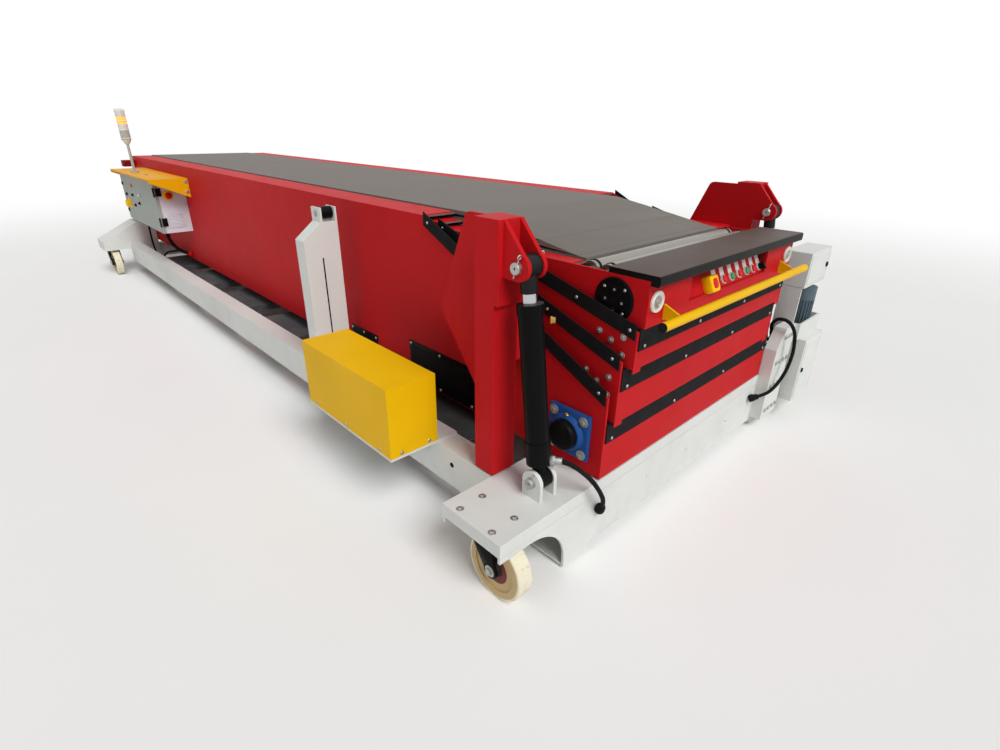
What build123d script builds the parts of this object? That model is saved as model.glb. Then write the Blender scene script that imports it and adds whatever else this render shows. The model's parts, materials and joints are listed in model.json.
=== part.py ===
"""Mobile telescopic belt conveyor: a wheeled base, a lifting outer section and three nested stages.

Millimetres. +X is the delivery end, +Y the machine's left side, +Z up.
The origin is on the floor under the middle of the machine.
"""
import os
from math import cos, radians, sin, tan
from typing import NamedTuple

from build123d import *

os.makedirs("parts", exist_ok=True)

# Overall
HALF_LENGTH = 2507.0
HALF_WIDTH = 950.0
SIDES = (("right", -1), ("left", 1))

# Clearances
RUN_GAP = 0.3
PIN_GAP = 0.05
ROD_EYE_PLAY = 2.8
MOVE_GAP = 5.0

# Sheet and plate
SHEET = 8.0
PLATE = 12.0

# Front faces of the base and of the head stage
FRONT_SETBACK = 107.0
FRONT_FACE = HALF_LENGTH - FRONT_SETBACK
BUMPER_R = 13.0
BUMPER_X = HALF_LENGTH - BUMPER_R
BUMPER_REACH = 55.0
HEAD_NOSE = BUMPER_X - BUMPER_REACH

# Casters
WHEEL_R = 100.0
WHEEL_HALF = 25.0
WHEEL_CORE_R = 72.0
WHEEL_CORE_HALF = 21.0
WHEEL_ROUND = 6.0
TRAIL = 49.0
AXLE_R = 10.0
HUB_R = 26.0
FORK_GAP = 6.0
FORK_THICK = 8.0
FORK_LEG_HALF = 26.0
FORK_SHOULDER = 30.0
FORK_CROWN_R = 50.0
FORK_EYE_R = 22.0
FORK_CROWN = 24.0
FORK_CROWN_LOW = 2 * WHEEL_R + FORK_THICK
CASTER_PLATE_HALF = 55.0
CASTER_PLATE = 8.0
CASTER_PLATE_LOW = FORK_CROWN_LOW + FORK_CROWN
SWIVEL_INSET = 68.0
SWIVEL_Y = HALF_WIDTH - SWIVEL_INSET
FRONT_SWIVEL_X = FRONT_FACE - 117.0

# Base frame
BEAM_DEPTH = 231.0
BEAM_BACK = FRONT_FACE - BEAM_DEPTH
BEAM_TOP = CASTER_PLATE_LOW + CASTER_PLATE + SHEET
BEAM_BOTTOM = 30.0
FOOT_BOTTOM = 10.0
FOOT_OUTER = HALF_WIDTH - 260.0
FOOT_WIDTH = 121.0
FOOT_INNER = FOOT_OUTER - FOOT_WIDTH
ARCH_R = 146.0
ARCH_LOW = 2 * WHEEL_R - ARCH_R - 12.0
END_FLANGE_LOW = 2 * WHEEL_R + 6.0
SEAM = 2.0
SEAM_Z = BEAM_TOP - 42.0
RAIL_OUTER = HALF_WIDTH - 184.0
RAIL_WIDTH = 80.0
RAIL_INNER = RAIL_OUTER - RAIL_WIDTH
RAIL_HEIGHT = 138.0
RAIL_LOW = BEAM_TOP - RAIL_HEIGHT
RAIL_WALL = 6.0
PAN_COUNT = 6
PAN_LENGTH = 420.0
PAN_DROP = 52.0
PAN_TOP = BEAM_TOP - PAN_DROP
PAN_LIP = 34.0
PAN_REAR_INSET = 700.5
PAN_FRONT_INSET = 513.0

# Rear beam and the pivot of the lifting boom
PIVOT_INSET = 122.0
PIVOT_X = PIVOT_INSET - HALF_LENGTH
PIVOT_Z = BEAM_TOP + 192.0
PIVOT_R = 30.0
PIVOT_PLATE = 20.0
PIVOT_BOSS_R = 70.0
REAR_SWIVEL_X = PIVOT_X
REAR_BEAM_BACK = REAR_SWIVEL_X - BEAM_DEPTH / 2
REAR_BEAM_FRONT = REAR_SWIVEL_X + BEAM_DEPTH / 2
REAR_TUBE_HALF_DEPTH = 80.0
REAR_TUBE_END = SWIVEL_Y - TRAIL - WHEEL_R - 2 * MOVE_GAP
REAR_TUBE_TOP = BEAM_TOP - 43.0
REAR_WEB_TIP_TOP = BEAM_TOP + 31.0
REAR_WEB_ROOT_TOP = BEAM_TOP + 164.0

# Belts and slider beds
BELT_HALF = HALF_WIDTH - 545.0
BELT_TOP = BEAM_TOP + 666.0
BELT_THICK = 8.0
BED_THICK = 6.0
BELT_STEP = 23.0
RAMP_SETBACK = 694.0
RAMP_LENGTH = 146.0
RAMP_TIP = 1.0
FLANGE_THICK = 4.0
FLANGE_GAP = 10.0
FLANGE_INNER = BELT_HALF + FLANGE_GAP


class Section(NamedTuple):
    """One telescopic section. Widths, setbacks and heights count from the base and from the section below."""
    name: str
    side_inset: float
    nose_setback: float
    tail_inset: float
    plate_height: float
    strip_height: float
    corner_rise: float
    slope: float

    @property
    def half_width(self):
        """Half the width over the side sheets."""
        return HALF_WIDTH - self.side_inset

    @property
    def nose(self):
        """Front face in X."""
        return HEAD_NOSE - self.nose_setback

    @property
    def tail(self):
        """Rear end in X."""
        return self.tail_inset - HALF_LENGTH


# name, side inset, nose setback, tail inset, front plate, wiper strip, side's rise above the strip at the nose, slope
SECTIONS = (
    Section("outer", 400.0, 39.0, 0.0, 119.0, 58.0, 89.0, 25.4),
    Section("stage_1", 434.0, 31.0, 107.0, 99.0, 66.0, 21.7, 18.8),
    Section("stage_2", 460.0, 9.0, 147.0, 54.0, 62.0, -8.6, 14.8),
)
OUTER = SECTIONS[0]
FLOOR_GAP = 6.0
STRIP_THICK = 4.0
SIDE_STRIP_WIDTH = 41.0
SIDE_STRIP_LIFT = 20.0
NOSE_TAB = (36.0, 3.0, 12.0)

# Levels that follow from the sizes above
SECTION_FLOORS = []
level = BEAM_TOP + FLOOR_GAP
for section in SECTIONS:
    SECTION_FLOORS.append(level)
    level += section.plate_height + section.strip_height + RUN_GAP
OUTER_FLOOR = SECTION_FLOORS[0]
HEAD_FLOOR = level
BELT_TOPS = [BELT_TOP - BELT_STEP * i for i in range(len(SECTIONS) + 1)]
HEAD_BELT_TOP = BELT_TOPS[-1]
BELT_EDGE = BELT_THICK - FLANGE_THICK
HEAD_TOP = HEAD_BELT_TOP - BELT_EDGE

# Head stage
HEAD_HALF = HALF_WIDTH - 476.0
HEAD_INNER = HEAD_HALF - SHEET
HEAD_TAIL = 187.0 - HALF_LENGTH
TABLE_OVERHANG = 27.0
TABLE_LENGTH = 157.0
TABLE_THICK = 16.0
TABLE_ROUND = 7.0
TABLE_LIP = 12.0
TABLE_FRONT = HEAD_NOSE + TABLE_OVERHANG
TABLE_BACK = TABLE_FRONT - TABLE_LENGTH
ROLLER_R = 25.0
ROLLER_HALF = HEAD_HALF - 54.0
ROLLER_SHAFT_R = 10.0
ROLLER_X = (TABLE_BACK - 100.0, TABLE_BACK - 42.0)
HEAD_BELT_FRONT = ROLLER_X[0] - ROLLER_R - MOVE_GAP
BUMPER_Z = HEAD_FLOOR + 22.0
BUMPER_HALF = HEAD_HALF + 10.0
BUMPER_BRACKET_Y = HEAD_HALF - 90.0
BUMPER_BRACKET_RISE = 30.0
LAMP_R = 35.0
LAMP_Y = HEAD_HALF - 40.0
LAMP_Z = HEAD_FLOOR + 68.0
LAMP_THICK = 6.0
LAMP_DOME_R = 22.0
LAMP_DOME = 9.0
COVER_R = 62.0
COVER_X = HEAD_NOSE - 104.0
COVER_Z = HEAD_TOP - 71.0
COVER_THICK = 3.0
PANEL_HALF = HEAD_HALF - 218.0
PANEL_LOW = HEAD_FLOOR + 33.0
PANEL_HIGH = HEAD_TOP - 19.0
PANEL_DEPTH = 45.0
PANEL_TILT = 24.0
BUTTON_PITCH = 2 * PANEL_HALF / 7.0


class Button(NamedTuple):
    """One control: its place in pitches from the middle, and its head."""
    place: float
    radius: float
    length: float


BUTTONS = (Button(-2.9, 20.0, 34.0), Button(-1.8, 11.0, 16.0), Button(-0.8, 11.0, 16.0), Button(0.2, 11.0, 16.0),
           Button(1.2, 11.0, 16.0), Button(2.2, 11.0, 16.0), Button(3.1, 12.0, 26.0))

# Lift columns and cylinders
COLUMN_SETBACK = 222.0
COLUMN_FRONT = FRONT_FACE - COLUMN_SETBACK
COLUMN_DEPTH = 76.0
COLUMN_BACK = COLUMN_FRONT - COLUMN_DEPTH
COLUMN_OUTER = HALF_WIDTH - 180.0
COLUMN_WIDTH = 86.0
COLUMN_INNER = COLUMN_OUTER - COLUMN_WIDTH
COLUMN_LOW = BEAM_TOP + 8.0
COLUMN_TOP = BELT_TOP + 76.0
PAD_THICK = 14.0
PAD_FRONT = COLUMN_FRONT + PAD_THICK
PAD_LOW = COLUMN_TOP - 214.0
GUSSET_TOP = COLUMN_TOP - 8.0
GUSSET_CORNER = COLUMN_BACK - 117.0
GUSSET_ROUND = 24.0
GUSSET_TIP = (COLUMN_BACK - 243.0, COLUMN_TOP - 309.0)
GUSSET_LOW = COLUMN_LOW + 110.0
BRACKET_X = (COLUMN_BACK - 180.0, COLUMN_BACK)
BRACKET_Z = (COLUMN_LOW + 300.0, COLUMN_LOW + 560.0)
PIN_R = 15.0
PIN_HEAD = 12.0
EYE_HALF = 22.0
EYE_R = 30.0
EAR_R = 34.0
CYLINDER_Y = COLUMN_OUTER - 50.0
LOWER_PIN = (FRONT_FACE - 82.0, BEAM_TOP + 52.0)
UPPER_PIN = (PAD_FRONT + 52.0, COLUMN_TOP - 107.0)
BARREL_R = 33.0
NECK_R = 19.0
BARREL_START = 48.0
BARREL_HEAD = 26.0
BARREL_HEAD_R = 35.0
BARREL_FOOT = 70.0
PORT_R = 13.0
PORT_REACH = 50.0
PORT_DROP = 42.0
ROD_R = 20.0
ROD_SHOWN = 92.0
ROD_START = 62.0
ROD_NECK_R = 21.5
ROD_NECK = 66.0

# Guide posts
POST_X = FRONT_FACE - 1304.0
POST_DEPTH = 70.0
POST_WIDTH = 151.0
POST_INNER = RAIL_OUTER - POST_WIDTH
POST_TOP = BELT_TOP - 23.0
POST_CHEEK_WIDTH = 70.0
POST_CHEEK = POST_INNER + POST_CHEEK_WIDTH
POST_CHEEK_LOW = POST_TOP - 55.0
POST_SHOULDER = POST_TOP - 119.0
POST_WALL = 8.0
POST_ROLLER_R = 24.0
POST_ROLLER_Z = POST_TOP - 23.0

# Yellow drive guard
GUARD_LENGTH = 535.0
GUARD_FRONT = FRONT_FACE - 489.0
GUARD_X = (GUARD_FRONT - GUARD_LENGTH, GUARD_FRONT)
GUARD_OUTER = HALF_WIDTH - 5.0
GUARD_LOW = BEAM_TOP + SHEET
GUARD_HEIGHT = 239.0
GUARD_TOP = GUARD_LOW + GUARD_HEIGHT

# Control box
BOX_LENGTH = 940.0
BOX_HEIGHT = 345.0
BOX_INSET = 384.0
BOX_X = (BOX_INSET - HALF_LENGTH, BOX_INSET - HALF_LENGTH + BOX_LENGTH)
BOX_Z = (BELT_TOP - 92.0 - BOX_HEIGHT, BELT_TOP - 92.0)
BOX_DEPTH = 166.0
BOX_FRONT = OUTER.half_width + BOX_DEPTH
BOX_WALL = 5.0
DOOR_THICK = 21.0


class Gear(NamedTuple):
    """A block of switchgear, in shares of the box's length, height and depth."""
    x_from: float
    x_to: float
    z_from: float
    z_to: float
    depth: float


SWITCHGEAR = (Gear(0.05, 0.24, 0.12, 0.84, 0.66), Gear(0.27, 0.41, 0.26, 0.84, 0.60), Gear(0.45, 0.56, 0.55, 0.84, 0.45),
              Gear(0.60, 0.91, 0.58, 0.84, 0.42), Gear(0.45, 0.91, 0.14, 0.35, 0.33))
HINGE_OUT = (2.0, 3.0)
HINGE_R = 7.0
HINGE_LENGTH = 60.0
HINGE_INSET = 45.0
HOOD_X = (BOX_X[0] - 32.0, BOX_X[1] + 127.0)
HOOD_OUTER = BOX_FRONT + 68.0
HOOD_TOP = BOX_Z[1] + 16.0
HOOD_SHEET = 5.0
HOOD_GUSSET = 122.0
SIGNAL_X = BOX_X[0] + 423.0
SIGNAL_Y = -BOX_FRONT + 1.0
SIGNAL_POLE_R = 9.0
SIGNAL_POLE_TOP = HOOD_TOP + 219.0
SIGNAL_LAMP_R = 30.0
SIGNAL_LAMP = 189.0
SIGNAL_TOP = SIGNAL_POLE_TOP + SIGNAL_LAMP

# Power unit on the left end of the front beam
UNIT_OUTER = HALF_WIDTH - 5.0
UNIT_POST_Y = (OUTER.half_width + MOVE_GAP + 1.0, FOOT_OUTER + 22.0)
UNIT_POST_FRONT = FRONT_FACE + 48.0
UNIT_POST_Z = (BEAM_BOTTOM + 19.0, BEAM_TOP + 204.0)
UNIT_POST_SLANT = (60.0, 82.0)
UNIT_TRAY_X = (FRONT_FACE - 48.0, FRONT_FACE + 66.0)
UNIT_TRAY_LOW = UNIT_POST_Z[1] - 70.0
CABINET_X = (FRONT_FACE - 56.0, FRONT_FACE + 44.0)
CABINET_Z = (UNIT_POST_Z[1] + 149.0, UNIT_POST_Z[1] + 293.0)
TANK_X = (FRONT_FACE + 40.0, FRONT_FACE + 95.0)
TANK_Y = (UNIT_POST_Y[1] + 30.0, UNIT_OUTER)
TANK_HEIGHT = 290.0
MOTOR_R = 48.0
MOTOR_FIN_COUNT = 12
MOTOR_X = FRONT_FACE + 9.0
MOTOR_Y = UNIT_OUTER - 105.0

# Flange bearings of the outer section
BEARING_X = FRONT_FACE - 120.0
BEARING_Z = OUTER_FLOOR + 122.0
BEARING_SIZE = 125.0
BEARING_ROUND = 18.0
BEARING_THICK = 26.0
BEARING_CAP_R = 42.0
BEARING_CAP = 28.0

# Hoses and cables: where each starts from and its steps from there
class Cord(NamedTuple):
    """A hose or cable. Its steps count from an anchor, so that it moves with what it joins."""
    name: str
    diameter: float
    anchor: tuple
    steps: tuple

    @property
    def points(self):
        """The route's corners."""
        return [tuple(a + step for a, step in zip(self.anchor, place)) for place in self.steps]


CORDS = (
    Cord("right_lift_hose", 14.0, (LOWER_PIN[0], -CYLINDER_Y, BEAM_TOP), (
        (22.9, 17.8, 113.4), (51, 34.4, 117), (82, 60, 98), (110, 92, 58), (124, 120, 10),
        (124, 146, -40), (102, 166, -80))),
    Cord("left_lift_hose", 14.0, (LOWER_PIN[0], CYLINDER_Y, BEAM_TOP), (
        (22.9, -17.8, 113.4), (47, -32, 116.5), (62, -58, 140), (68, -88, 176), (68, -113, 212),
        (94, -124, 246), (137, -128, 246), (164, -120, 212), (169, -100, 160), (170, -88, 102),
        (167, -96, 42), (160, -120, -6), (150, -154, -42), (136, -188, -64), (104, -208, -82))),
    Cord("control_bundle", 26.0, (BOX_X[0], -OUTER.half_width, BOX_Z[0]), (
        (623, -100, -0.3), (623, -100, -55), (643, -92, -109), (685, -74, -151), (735, -50, -175),
        (787, -16, -185))),
    Cord("control_loop", 14.0, (BOX_X[0], -OUTER.half_width, BOX_Z[0]), (
        (53, -90, -0.3), (53, -90, -57), (55, -92, -127), (63, -94, -197), (87, -94, -263),
        (135, -92, -311), (199, -90, -325), (263, -86, -301), (323, -82, -259), (393, -74, -231),
        (463, -54, -215), (513, -14, -205))),
)
GLAND_LENGTH = 25.0


def top_corner(section, flange_top):
    """Returns where a section's sloping side edge meets its top flange, in X."""
    return section.nose - (flange_top - nose_corner(section)) / tan(radians(section.slope))


def nose_corner(section):
    """Returns the height of the side sheet at a section's nose."""
    floor = SECTION_FLOORS[SECTIONS.index(section)]
    return floor + section.plate_height + section.strip_height + section.corner_rise


def block(x_from, x_to, y_from, y_to, z_from, z_to, mode=Mode.ADD):
    """Adds a box between two corners."""
    with Locations(((x_from + x_to) / 2, (y_from + y_to) / 2, (z_from + z_to) / 2)):
        Box(abs(x_to - x_from), abs(y_to - y_from), abs(z_to - z_from), mode=mode)


def plate_xz(outline, y_from, y_to, mode=Mode.ADD):
    """Adds a plate with an outline in X and Z, between two Y faces."""
    low, high = sorted((y_from, y_to))
    with BuildSketch(Plane.XZ.offset(-high)) as profile:
        with BuildLine():
            Polyline(*outline, close=True)
        make_face()
    extrude(profile.sketch, amount=high - low, mode=mode)


def plate_yz(outline, x_from, x_to, mode=Mode.ADD):
    """Adds a plate with an outline in Y and Z, between two X faces."""
    low, high = sorted((x_from, x_to))
    with BuildSketch(Plane.YZ.offset(low)) as profile:
        with BuildLine():
            Polyline(*outline, close=True)
        make_face()
    extrude(profile.sketch, amount=high - low, mode=mode)


def bar_y(x, z, radius, y_from, y_to, mode=Mode.ADD):
    """Adds a round bar along Y."""
    with Locations(Location((x, (y_from + y_to) / 2, z), (90, 0, 0))):
        Cylinder(radius, abs(y_to - y_from), mode=mode)


def bar_z(x, y, radius, z_from, z_to, mode=Mode.ADD):
    """Adds a round bar along Z."""
    with Locations((x, y, (z_from + z_to) / 2)):
        Cylinder(radius, z_to - z_from, mode=mode)


def bar_x(y, z, radius, x_from, x_to, mode=Mode.ADD):
    """Adds a round bar along X."""
    with Locations(Location(((x_from + x_to) / 2, y, z), (0, 90, 0))):
        Cylinder(radius, x_to - x_from, mode=mode)


def side_strip(section, slope_x):
    """Returns the outline of the wiper strip along a section's sloping side edge."""
    slope = radians(section.slope)
    run = (section.nose - slope_x) * 0.98
    start = (section.nose - MOVE_GAP, nose_corner(section) + SIDE_STRIP_LIFT)
    end = (start[0] - run, start[1] + run * tan(slope))
    drop = SIDE_STRIP_WIDTH / cos(slope)
    return start, end, (end[0], end[1] - drop), (start[0], start[1] - drop)


def glands(*names):
    """Adds a round fitting where each named cord ends."""
    for cord in CORDS:
        if cord.name in names:
            end = Vector(*cord.points[-1])
            along = (end - Vector(*cord.points[-2])).normalized()
            with BuildSketch(Plane(origin=end + along * RUN_GAP, z_dir=along)) as face:
                Circle(cord.diameter * 0.8)
            extrude(face.sketch, amount=GLAND_LENGTH)


def save(piece, name):
    """Labels a finished piece and writes it."""
    piece.part.label = name
    export_step(piece.part, f"parts/{name}.step")


# Front beam: a channel over the two front casters, with a skid foot inside each arch
with BuildPart() as front_beam:
    for face in (FRONT_FACE - SHEET, BEAM_BACK):
        with BuildSketch(Plane.YZ.offset(face)) as web:
            with BuildLine():
                Polyline((0, BEAM_TOP), (0, BEAM_BOTTOM), (FOOT_INNER, BEAM_BOTTOM), (FOOT_INNER, FOOT_BOTTOM),
                         (FOOT_OUTER, FOOT_BOTTOM), (FOOT_OUTER, ARCH_LOW))
                RadiusArc((FOOT_OUTER, ARCH_LOW), (FOOT_OUTER + ARCH_R, ARCH_LOW + ARCH_R), ARCH_R)
                Polyline((FOOT_OUTER + ARCH_R, ARCH_LOW + ARCH_R), (HALF_WIDTH, ARCH_LOW + ARCH_R),
                         (HALF_WIDTH, BEAM_TOP), (0, BEAM_TOP))
            make_face()
            mirror(about=Plane.YZ)
        extrude(amount=SHEET)
    block(BEAM_BACK, FRONT_FACE, -HALF_WIDTH, HALF_WIDTH, BEAM_TOP - SHEET, BEAM_TOP)
    block(BEAM_BACK, FRONT_FACE, -FOOT_INNER, FOOT_INNER, BEAM_BOTTOM, BEAM_BOTTOM + SHEET)
    for _, side in SIDES:
        block(BEAM_BACK, FRONT_FACE, side * (HALF_WIDTH - SHEET), side * HALF_WIDTH, END_FLANGE_LOW, BEAM_TOP)
        block(BEAM_BACK, FRONT_FACE, side * FOOT_INNER, side * FOOT_OUTER, FOOT_BOTTOM, FOOT_BOTTOM + SHEET)
        block(FRONT_SWIVEL_X - CASTER_PLATE_HALF, FRONT_SWIVEL_X + CASTER_PLATE_HALF,
              side * (SWIVEL_Y - CASTER_PLATE_HALF), side * (HALF_WIDTH - SHEET), CASTER_PLATE_LOW, BEAM_TOP - SHEET)
        for edge in (-1, 1):
            inner = side * CYLINDER_Y + edge * (EYE_HALF + RUN_GAP)
            foot = ((LOWER_PIN[0] - EAR_R, BEAM_TOP), (LOWER_PIN[0] + EAR_R, BEAM_TOP),
                    (LOWER_PIN[0] + EAR_R, LOWER_PIN[1]), (LOWER_PIN[0] - EAR_R, LOWER_PIN[1]))
            plate_xz(foot, inner, inner + edge * PLATE)
            bar_y(*LOWER_PIN, EAR_R, inner, inner + edge * PLATE)
        bar_y(*LOWER_PIN, PIN_R, side * (CYLINDER_Y - EYE_HALF - RUN_GAP - PLATE - PIN_HEAD),
              side * (CYLINDER_Y + EYE_HALF + RUN_GAP + PLATE + PIN_HEAD))
    block(FRONT_FACE - SEAM, FRONT_FACE + 1, -HALF_WIDTH - 1, HALF_WIDTH + 1, SEAM_Z - SEAM / 2, SEAM_Z + SEAM / 2,
          mode=Mode.SUBTRACT)
    glands("right_lift_hose", "left_lift_hose")
save(front_beam, "front_beam")

# Side rails: closed tubes, the right one with the shelf of the drive guard
for side_name, side in SIDES:
    with BuildPart() as rail:
        block(REAR_BEAM_FRONT, BEAM_BACK, side * RAIL_INNER, side * RAIL_OUTER, RAIL_LOW, BEAM_TOP)
        block(REAR_BEAM_FRONT, BEAM_BACK, side * (RAIL_INNER + RAIL_WALL), side * (RAIL_OUTER - RAIL_WALL),
              RAIL_LOW + RAIL_WALL, BEAM_TOP - RAIL_WALL, mode=Mode.SUBTRACT)
        if side_name == "right":
            block(*GUARD_X, side * RAIL_INNER, side * GUARD_OUTER, BEAM_TOP, GUARD_LOW)
    save(rail, f"{side_name}_rail")

# Rear beam: a cross tube with an outrigger and a pivot plate at each end
PIVOT_PLATE_INNER = OUTER.half_width + MOVE_GAP + 1.0
with BuildPart() as rear_beam:
    block(REAR_SWIVEL_X - REAR_TUBE_HALF_DEPTH, REAR_SWIVEL_X + REAR_TUBE_HALF_DEPTH, -REAR_TUBE_END, REAR_TUBE_END,
          RAIL_LOW, REAR_TUBE_TOP)
    for _, side in SIDES:
        web = [(side * y, z) for y, z in ((PIVOT_PLATE_INNER, RAIL_LOW), (FOOT_OUTER, RAIL_LOW),
                                          (FOOT_OUTER + ARCH_R / 2, END_FLANGE_LOW), (HALF_WIDTH, END_FLANGE_LOW),
                                          (HALF_WIDTH, REAR_WEB_TIP_TOP), (RAIL_INNER, REAR_WEB_ROOT_TOP),
                                          (PIVOT_PLATE_INNER, REAR_WEB_ROOT_TOP))]
        plate_yz(web, REAR_BEAM_BACK, REAR_BEAM_BACK + SHEET)
        plate_yz(web, REAR_BEAM_FRONT - SHEET, REAR_BEAM_FRONT)
        cover = [(side * y, z) for y, z in ((HALF_WIDTH, REAR_WEB_TIP_TOP - SHEET), (HALF_WIDTH, REAR_WEB_TIP_TOP),
                                            (RAIL_INNER, REAR_WEB_ROOT_TOP), (RAIL_INNER, REAR_WEB_ROOT_TOP - SHEET))]
        plate_yz(cover, REAR_BEAM_BACK, REAR_BEAM_FRONT)
        block(REAR_BEAM_BACK, REAR_BEAM_FRONT, side * (HALF_WIDTH - SHEET), side * HALF_WIDTH, END_FLANGE_LOW,
              REAR_WEB_TIP_TOP)
        block(REAR_BEAM_BACK, REAR_BEAM_FRONT, side * RAIL_INNER, side * HALF_WIDTH, CASTER_PLATE_LOW, BEAM_TOP)
        block(REAR_BEAM_BACK, REAR_BEAM_FRONT, side * PIVOT_PLATE_INNER, side * (PIVOT_PLATE_INNER + PIVOT_PLATE),
              REAR_TUBE_TOP, PIVOT_Z)
        bar_y(PIVOT_X, PIVOT_Z, PIVOT_BOSS_R, side * PIVOT_PLATE_INNER, side * (PIVOT_PLATE_INNER + PIVOT_PLATE))
        bar_y(PIVOT_X, PIVOT_Z, PIVOT_R + PIN_GAP, side * (PIVOT_PLATE_INNER - 1),
              side * (PIVOT_PLATE_INNER + PIVOT_PLATE + 1), mode=Mode.SUBTRACT)
save(rear_beam, "rear_beam")

# Floor pans between the rails, each with its edges folded down
with BuildPart() as floor_pans:
    first = REAR_BEAM_FRONT + PAN_REAR_INSET
    pitch = (BEAM_BACK - PAN_FRONT_INSET - first) / (PAN_COUNT - 1)
    for i in range(PAN_COUNT):
        middle = first + pitch * i
        block(middle - PAN_LENGTH / 2, middle + PAN_LENGTH / 2, -RAIL_INNER, RAIL_INNER, PAN_TOP - PAN_LIP, PAN_TOP)
        block(middle - PAN_LENGTH / 2 + SHEET, middle + PAN_LENGTH / 2 - SHEET, -RAIL_INNER, RAIL_INNER,
              PAN_TOP - PAN_LIP, PAN_TOP - SHEET, mode=Mode.SUBTRACT)
save(floor_pans, "floor_pans")

# Guide posts beside the outer section, each an open channel with a roller between its cheeks
for side_name, side in SIDES:
    with BuildPart() as post:
        outline = [(side * y, z) for y, z in ((POST_INNER, BEAM_TOP), (RAIL_OUTER, BEAM_TOP), (RAIL_OUTER, POST_SHOULDER),
                                              (POST_CHEEK, POST_CHEEK_LOW), (POST_CHEEK, POST_TOP), (POST_INNER, POST_TOP))]
        plate_yz(outline, POST_X - POST_DEPTH, POST_X)
        block(POST_X - POST_DEPTH, POST_X - POST_WALL, side * (POST_INNER + POST_WALL), side * (RAIL_OUTER - POST_WALL),
              BEAM_TOP + POST_WALL, POST_SHOULDER - POST_WALL, mode=Mode.SUBTRACT)
        block(POST_X - POST_DEPTH - 1, POST_X + 1, side * (POST_INNER + POST_WALL), side * (POST_CHEEK - POST_WALL),
              POST_CHEEK_LOW, POST_TOP + 1, mode=Mode.SUBTRACT)
    save(post, f"{side_name}_guide_post")
with BuildPart() as guide_rollers:
    for _, side in SIDES:
        bar_y(POST_X - POST_DEPTH / 2, POST_ROLLER_Z, POST_ROLLER_R, side * (POST_INNER + POST_WALL + RUN_GAP),
              side * (POST_CHEEK - POST_WALL - RUN_GAP))
save(guide_rollers, "guide_rollers")

# Drive guard on the right rail
with BuildPart() as drive_guard:
    block(*GUARD_X, -(RAIL_OUTER + RUN_GAP), -GUARD_OUTER, GUARD_LOW, GUARD_TOP)
save(drive_guard, "drive_guard")

# Power unit: a bolted post on the front beam carries a tray, a motor, a cabinet and a slim tank
with BuildPart() as unit_mount:
    post_outline = ((UNIT_POST_Y[0], UNIT_POST_Z[0]), (UNIT_POST_Y[1], UNIT_POST_Z[0]), (UNIT_POST_Y[1], UNIT_POST_Z[1]),
                    (UNIT_POST_Y[0] + UNIT_POST_SLANT[0], UNIT_POST_Z[1]), (UNIT_POST_Y[0], UNIT_POST_Z[1] - UNIT_POST_SLANT[1]))
    plate_yz(post_outline, FRONT_FACE, UNIT_POST_FRONT)
    block(*UNIT_TRAY_X, UNIT_POST_Y[1], UNIT_OUTER, UNIT_TRAY_LOW, UNIT_POST_Z[1])
    block(UNIT_TRAY_X[0] + SHEET, UNIT_TRAY_X[1] - SHEET, UNIT_POST_Y[1] + SHEET, UNIT_OUTER - SHEET,
          UNIT_TRAY_LOW + SHEET, UNIT_POST_Z[1] + 1, mode=Mode.SUBTRACT)
    block(UNIT_TRAY_X[0], CABINET_X[1] - SHEET, UNIT_POST_Y[1], UNIT_POST_Y[1] + SHEET, UNIT_TRAY_LOW, CABINET_Z[0])
save(unit_mount, "unit_mount")
with BuildPart() as unit_motor:
    bar_z(MOTOR_X, MOTOR_Y, MOTOR_R * 0.9, UNIT_TRAY_LOW + SHEET, CABINET_Z[0] - 20)
    for i in range(MOTOR_FIN_COUNT):
        with Locations(Location((MOTOR_X, MOTOR_Y, (UNIT_TRAY_LOW + CABINET_Z[0]) / 2 - 10), (0, 0, 180.0 * i / MOTOR_FIN_COUNT))):
            Box(2 * MOTOR_R, 4, 120)
    bar_z(MOTOR_X, MOTOR_Y, MOTOR_R, CABINET_Z[0] - 70, CABINET_Z[0] - 16)
    bar_z(MOTOR_X, MOTOR_Y, MOTOR_R, UNIT_TRAY_LOW + SHEET, UNIT_TRAY_LOW + 3 * SHEET)
save(unit_motor, "unit_motor")
with BuildPart() as unit_boxes:
    block(*CABINET_X, UNIT_POST_Y[1], UNIT_OUTER, *CABINET_Z)
    block(*TANK_X, *TANK_Y, UNIT_TRAY_LOW - TANK_HEIGHT, UNIT_TRAY_LOW)
    chamfer(unit_boxes.edges().filter_by(Axis.X), 3)
save(unit_boxes, "unit_boxes")

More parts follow.
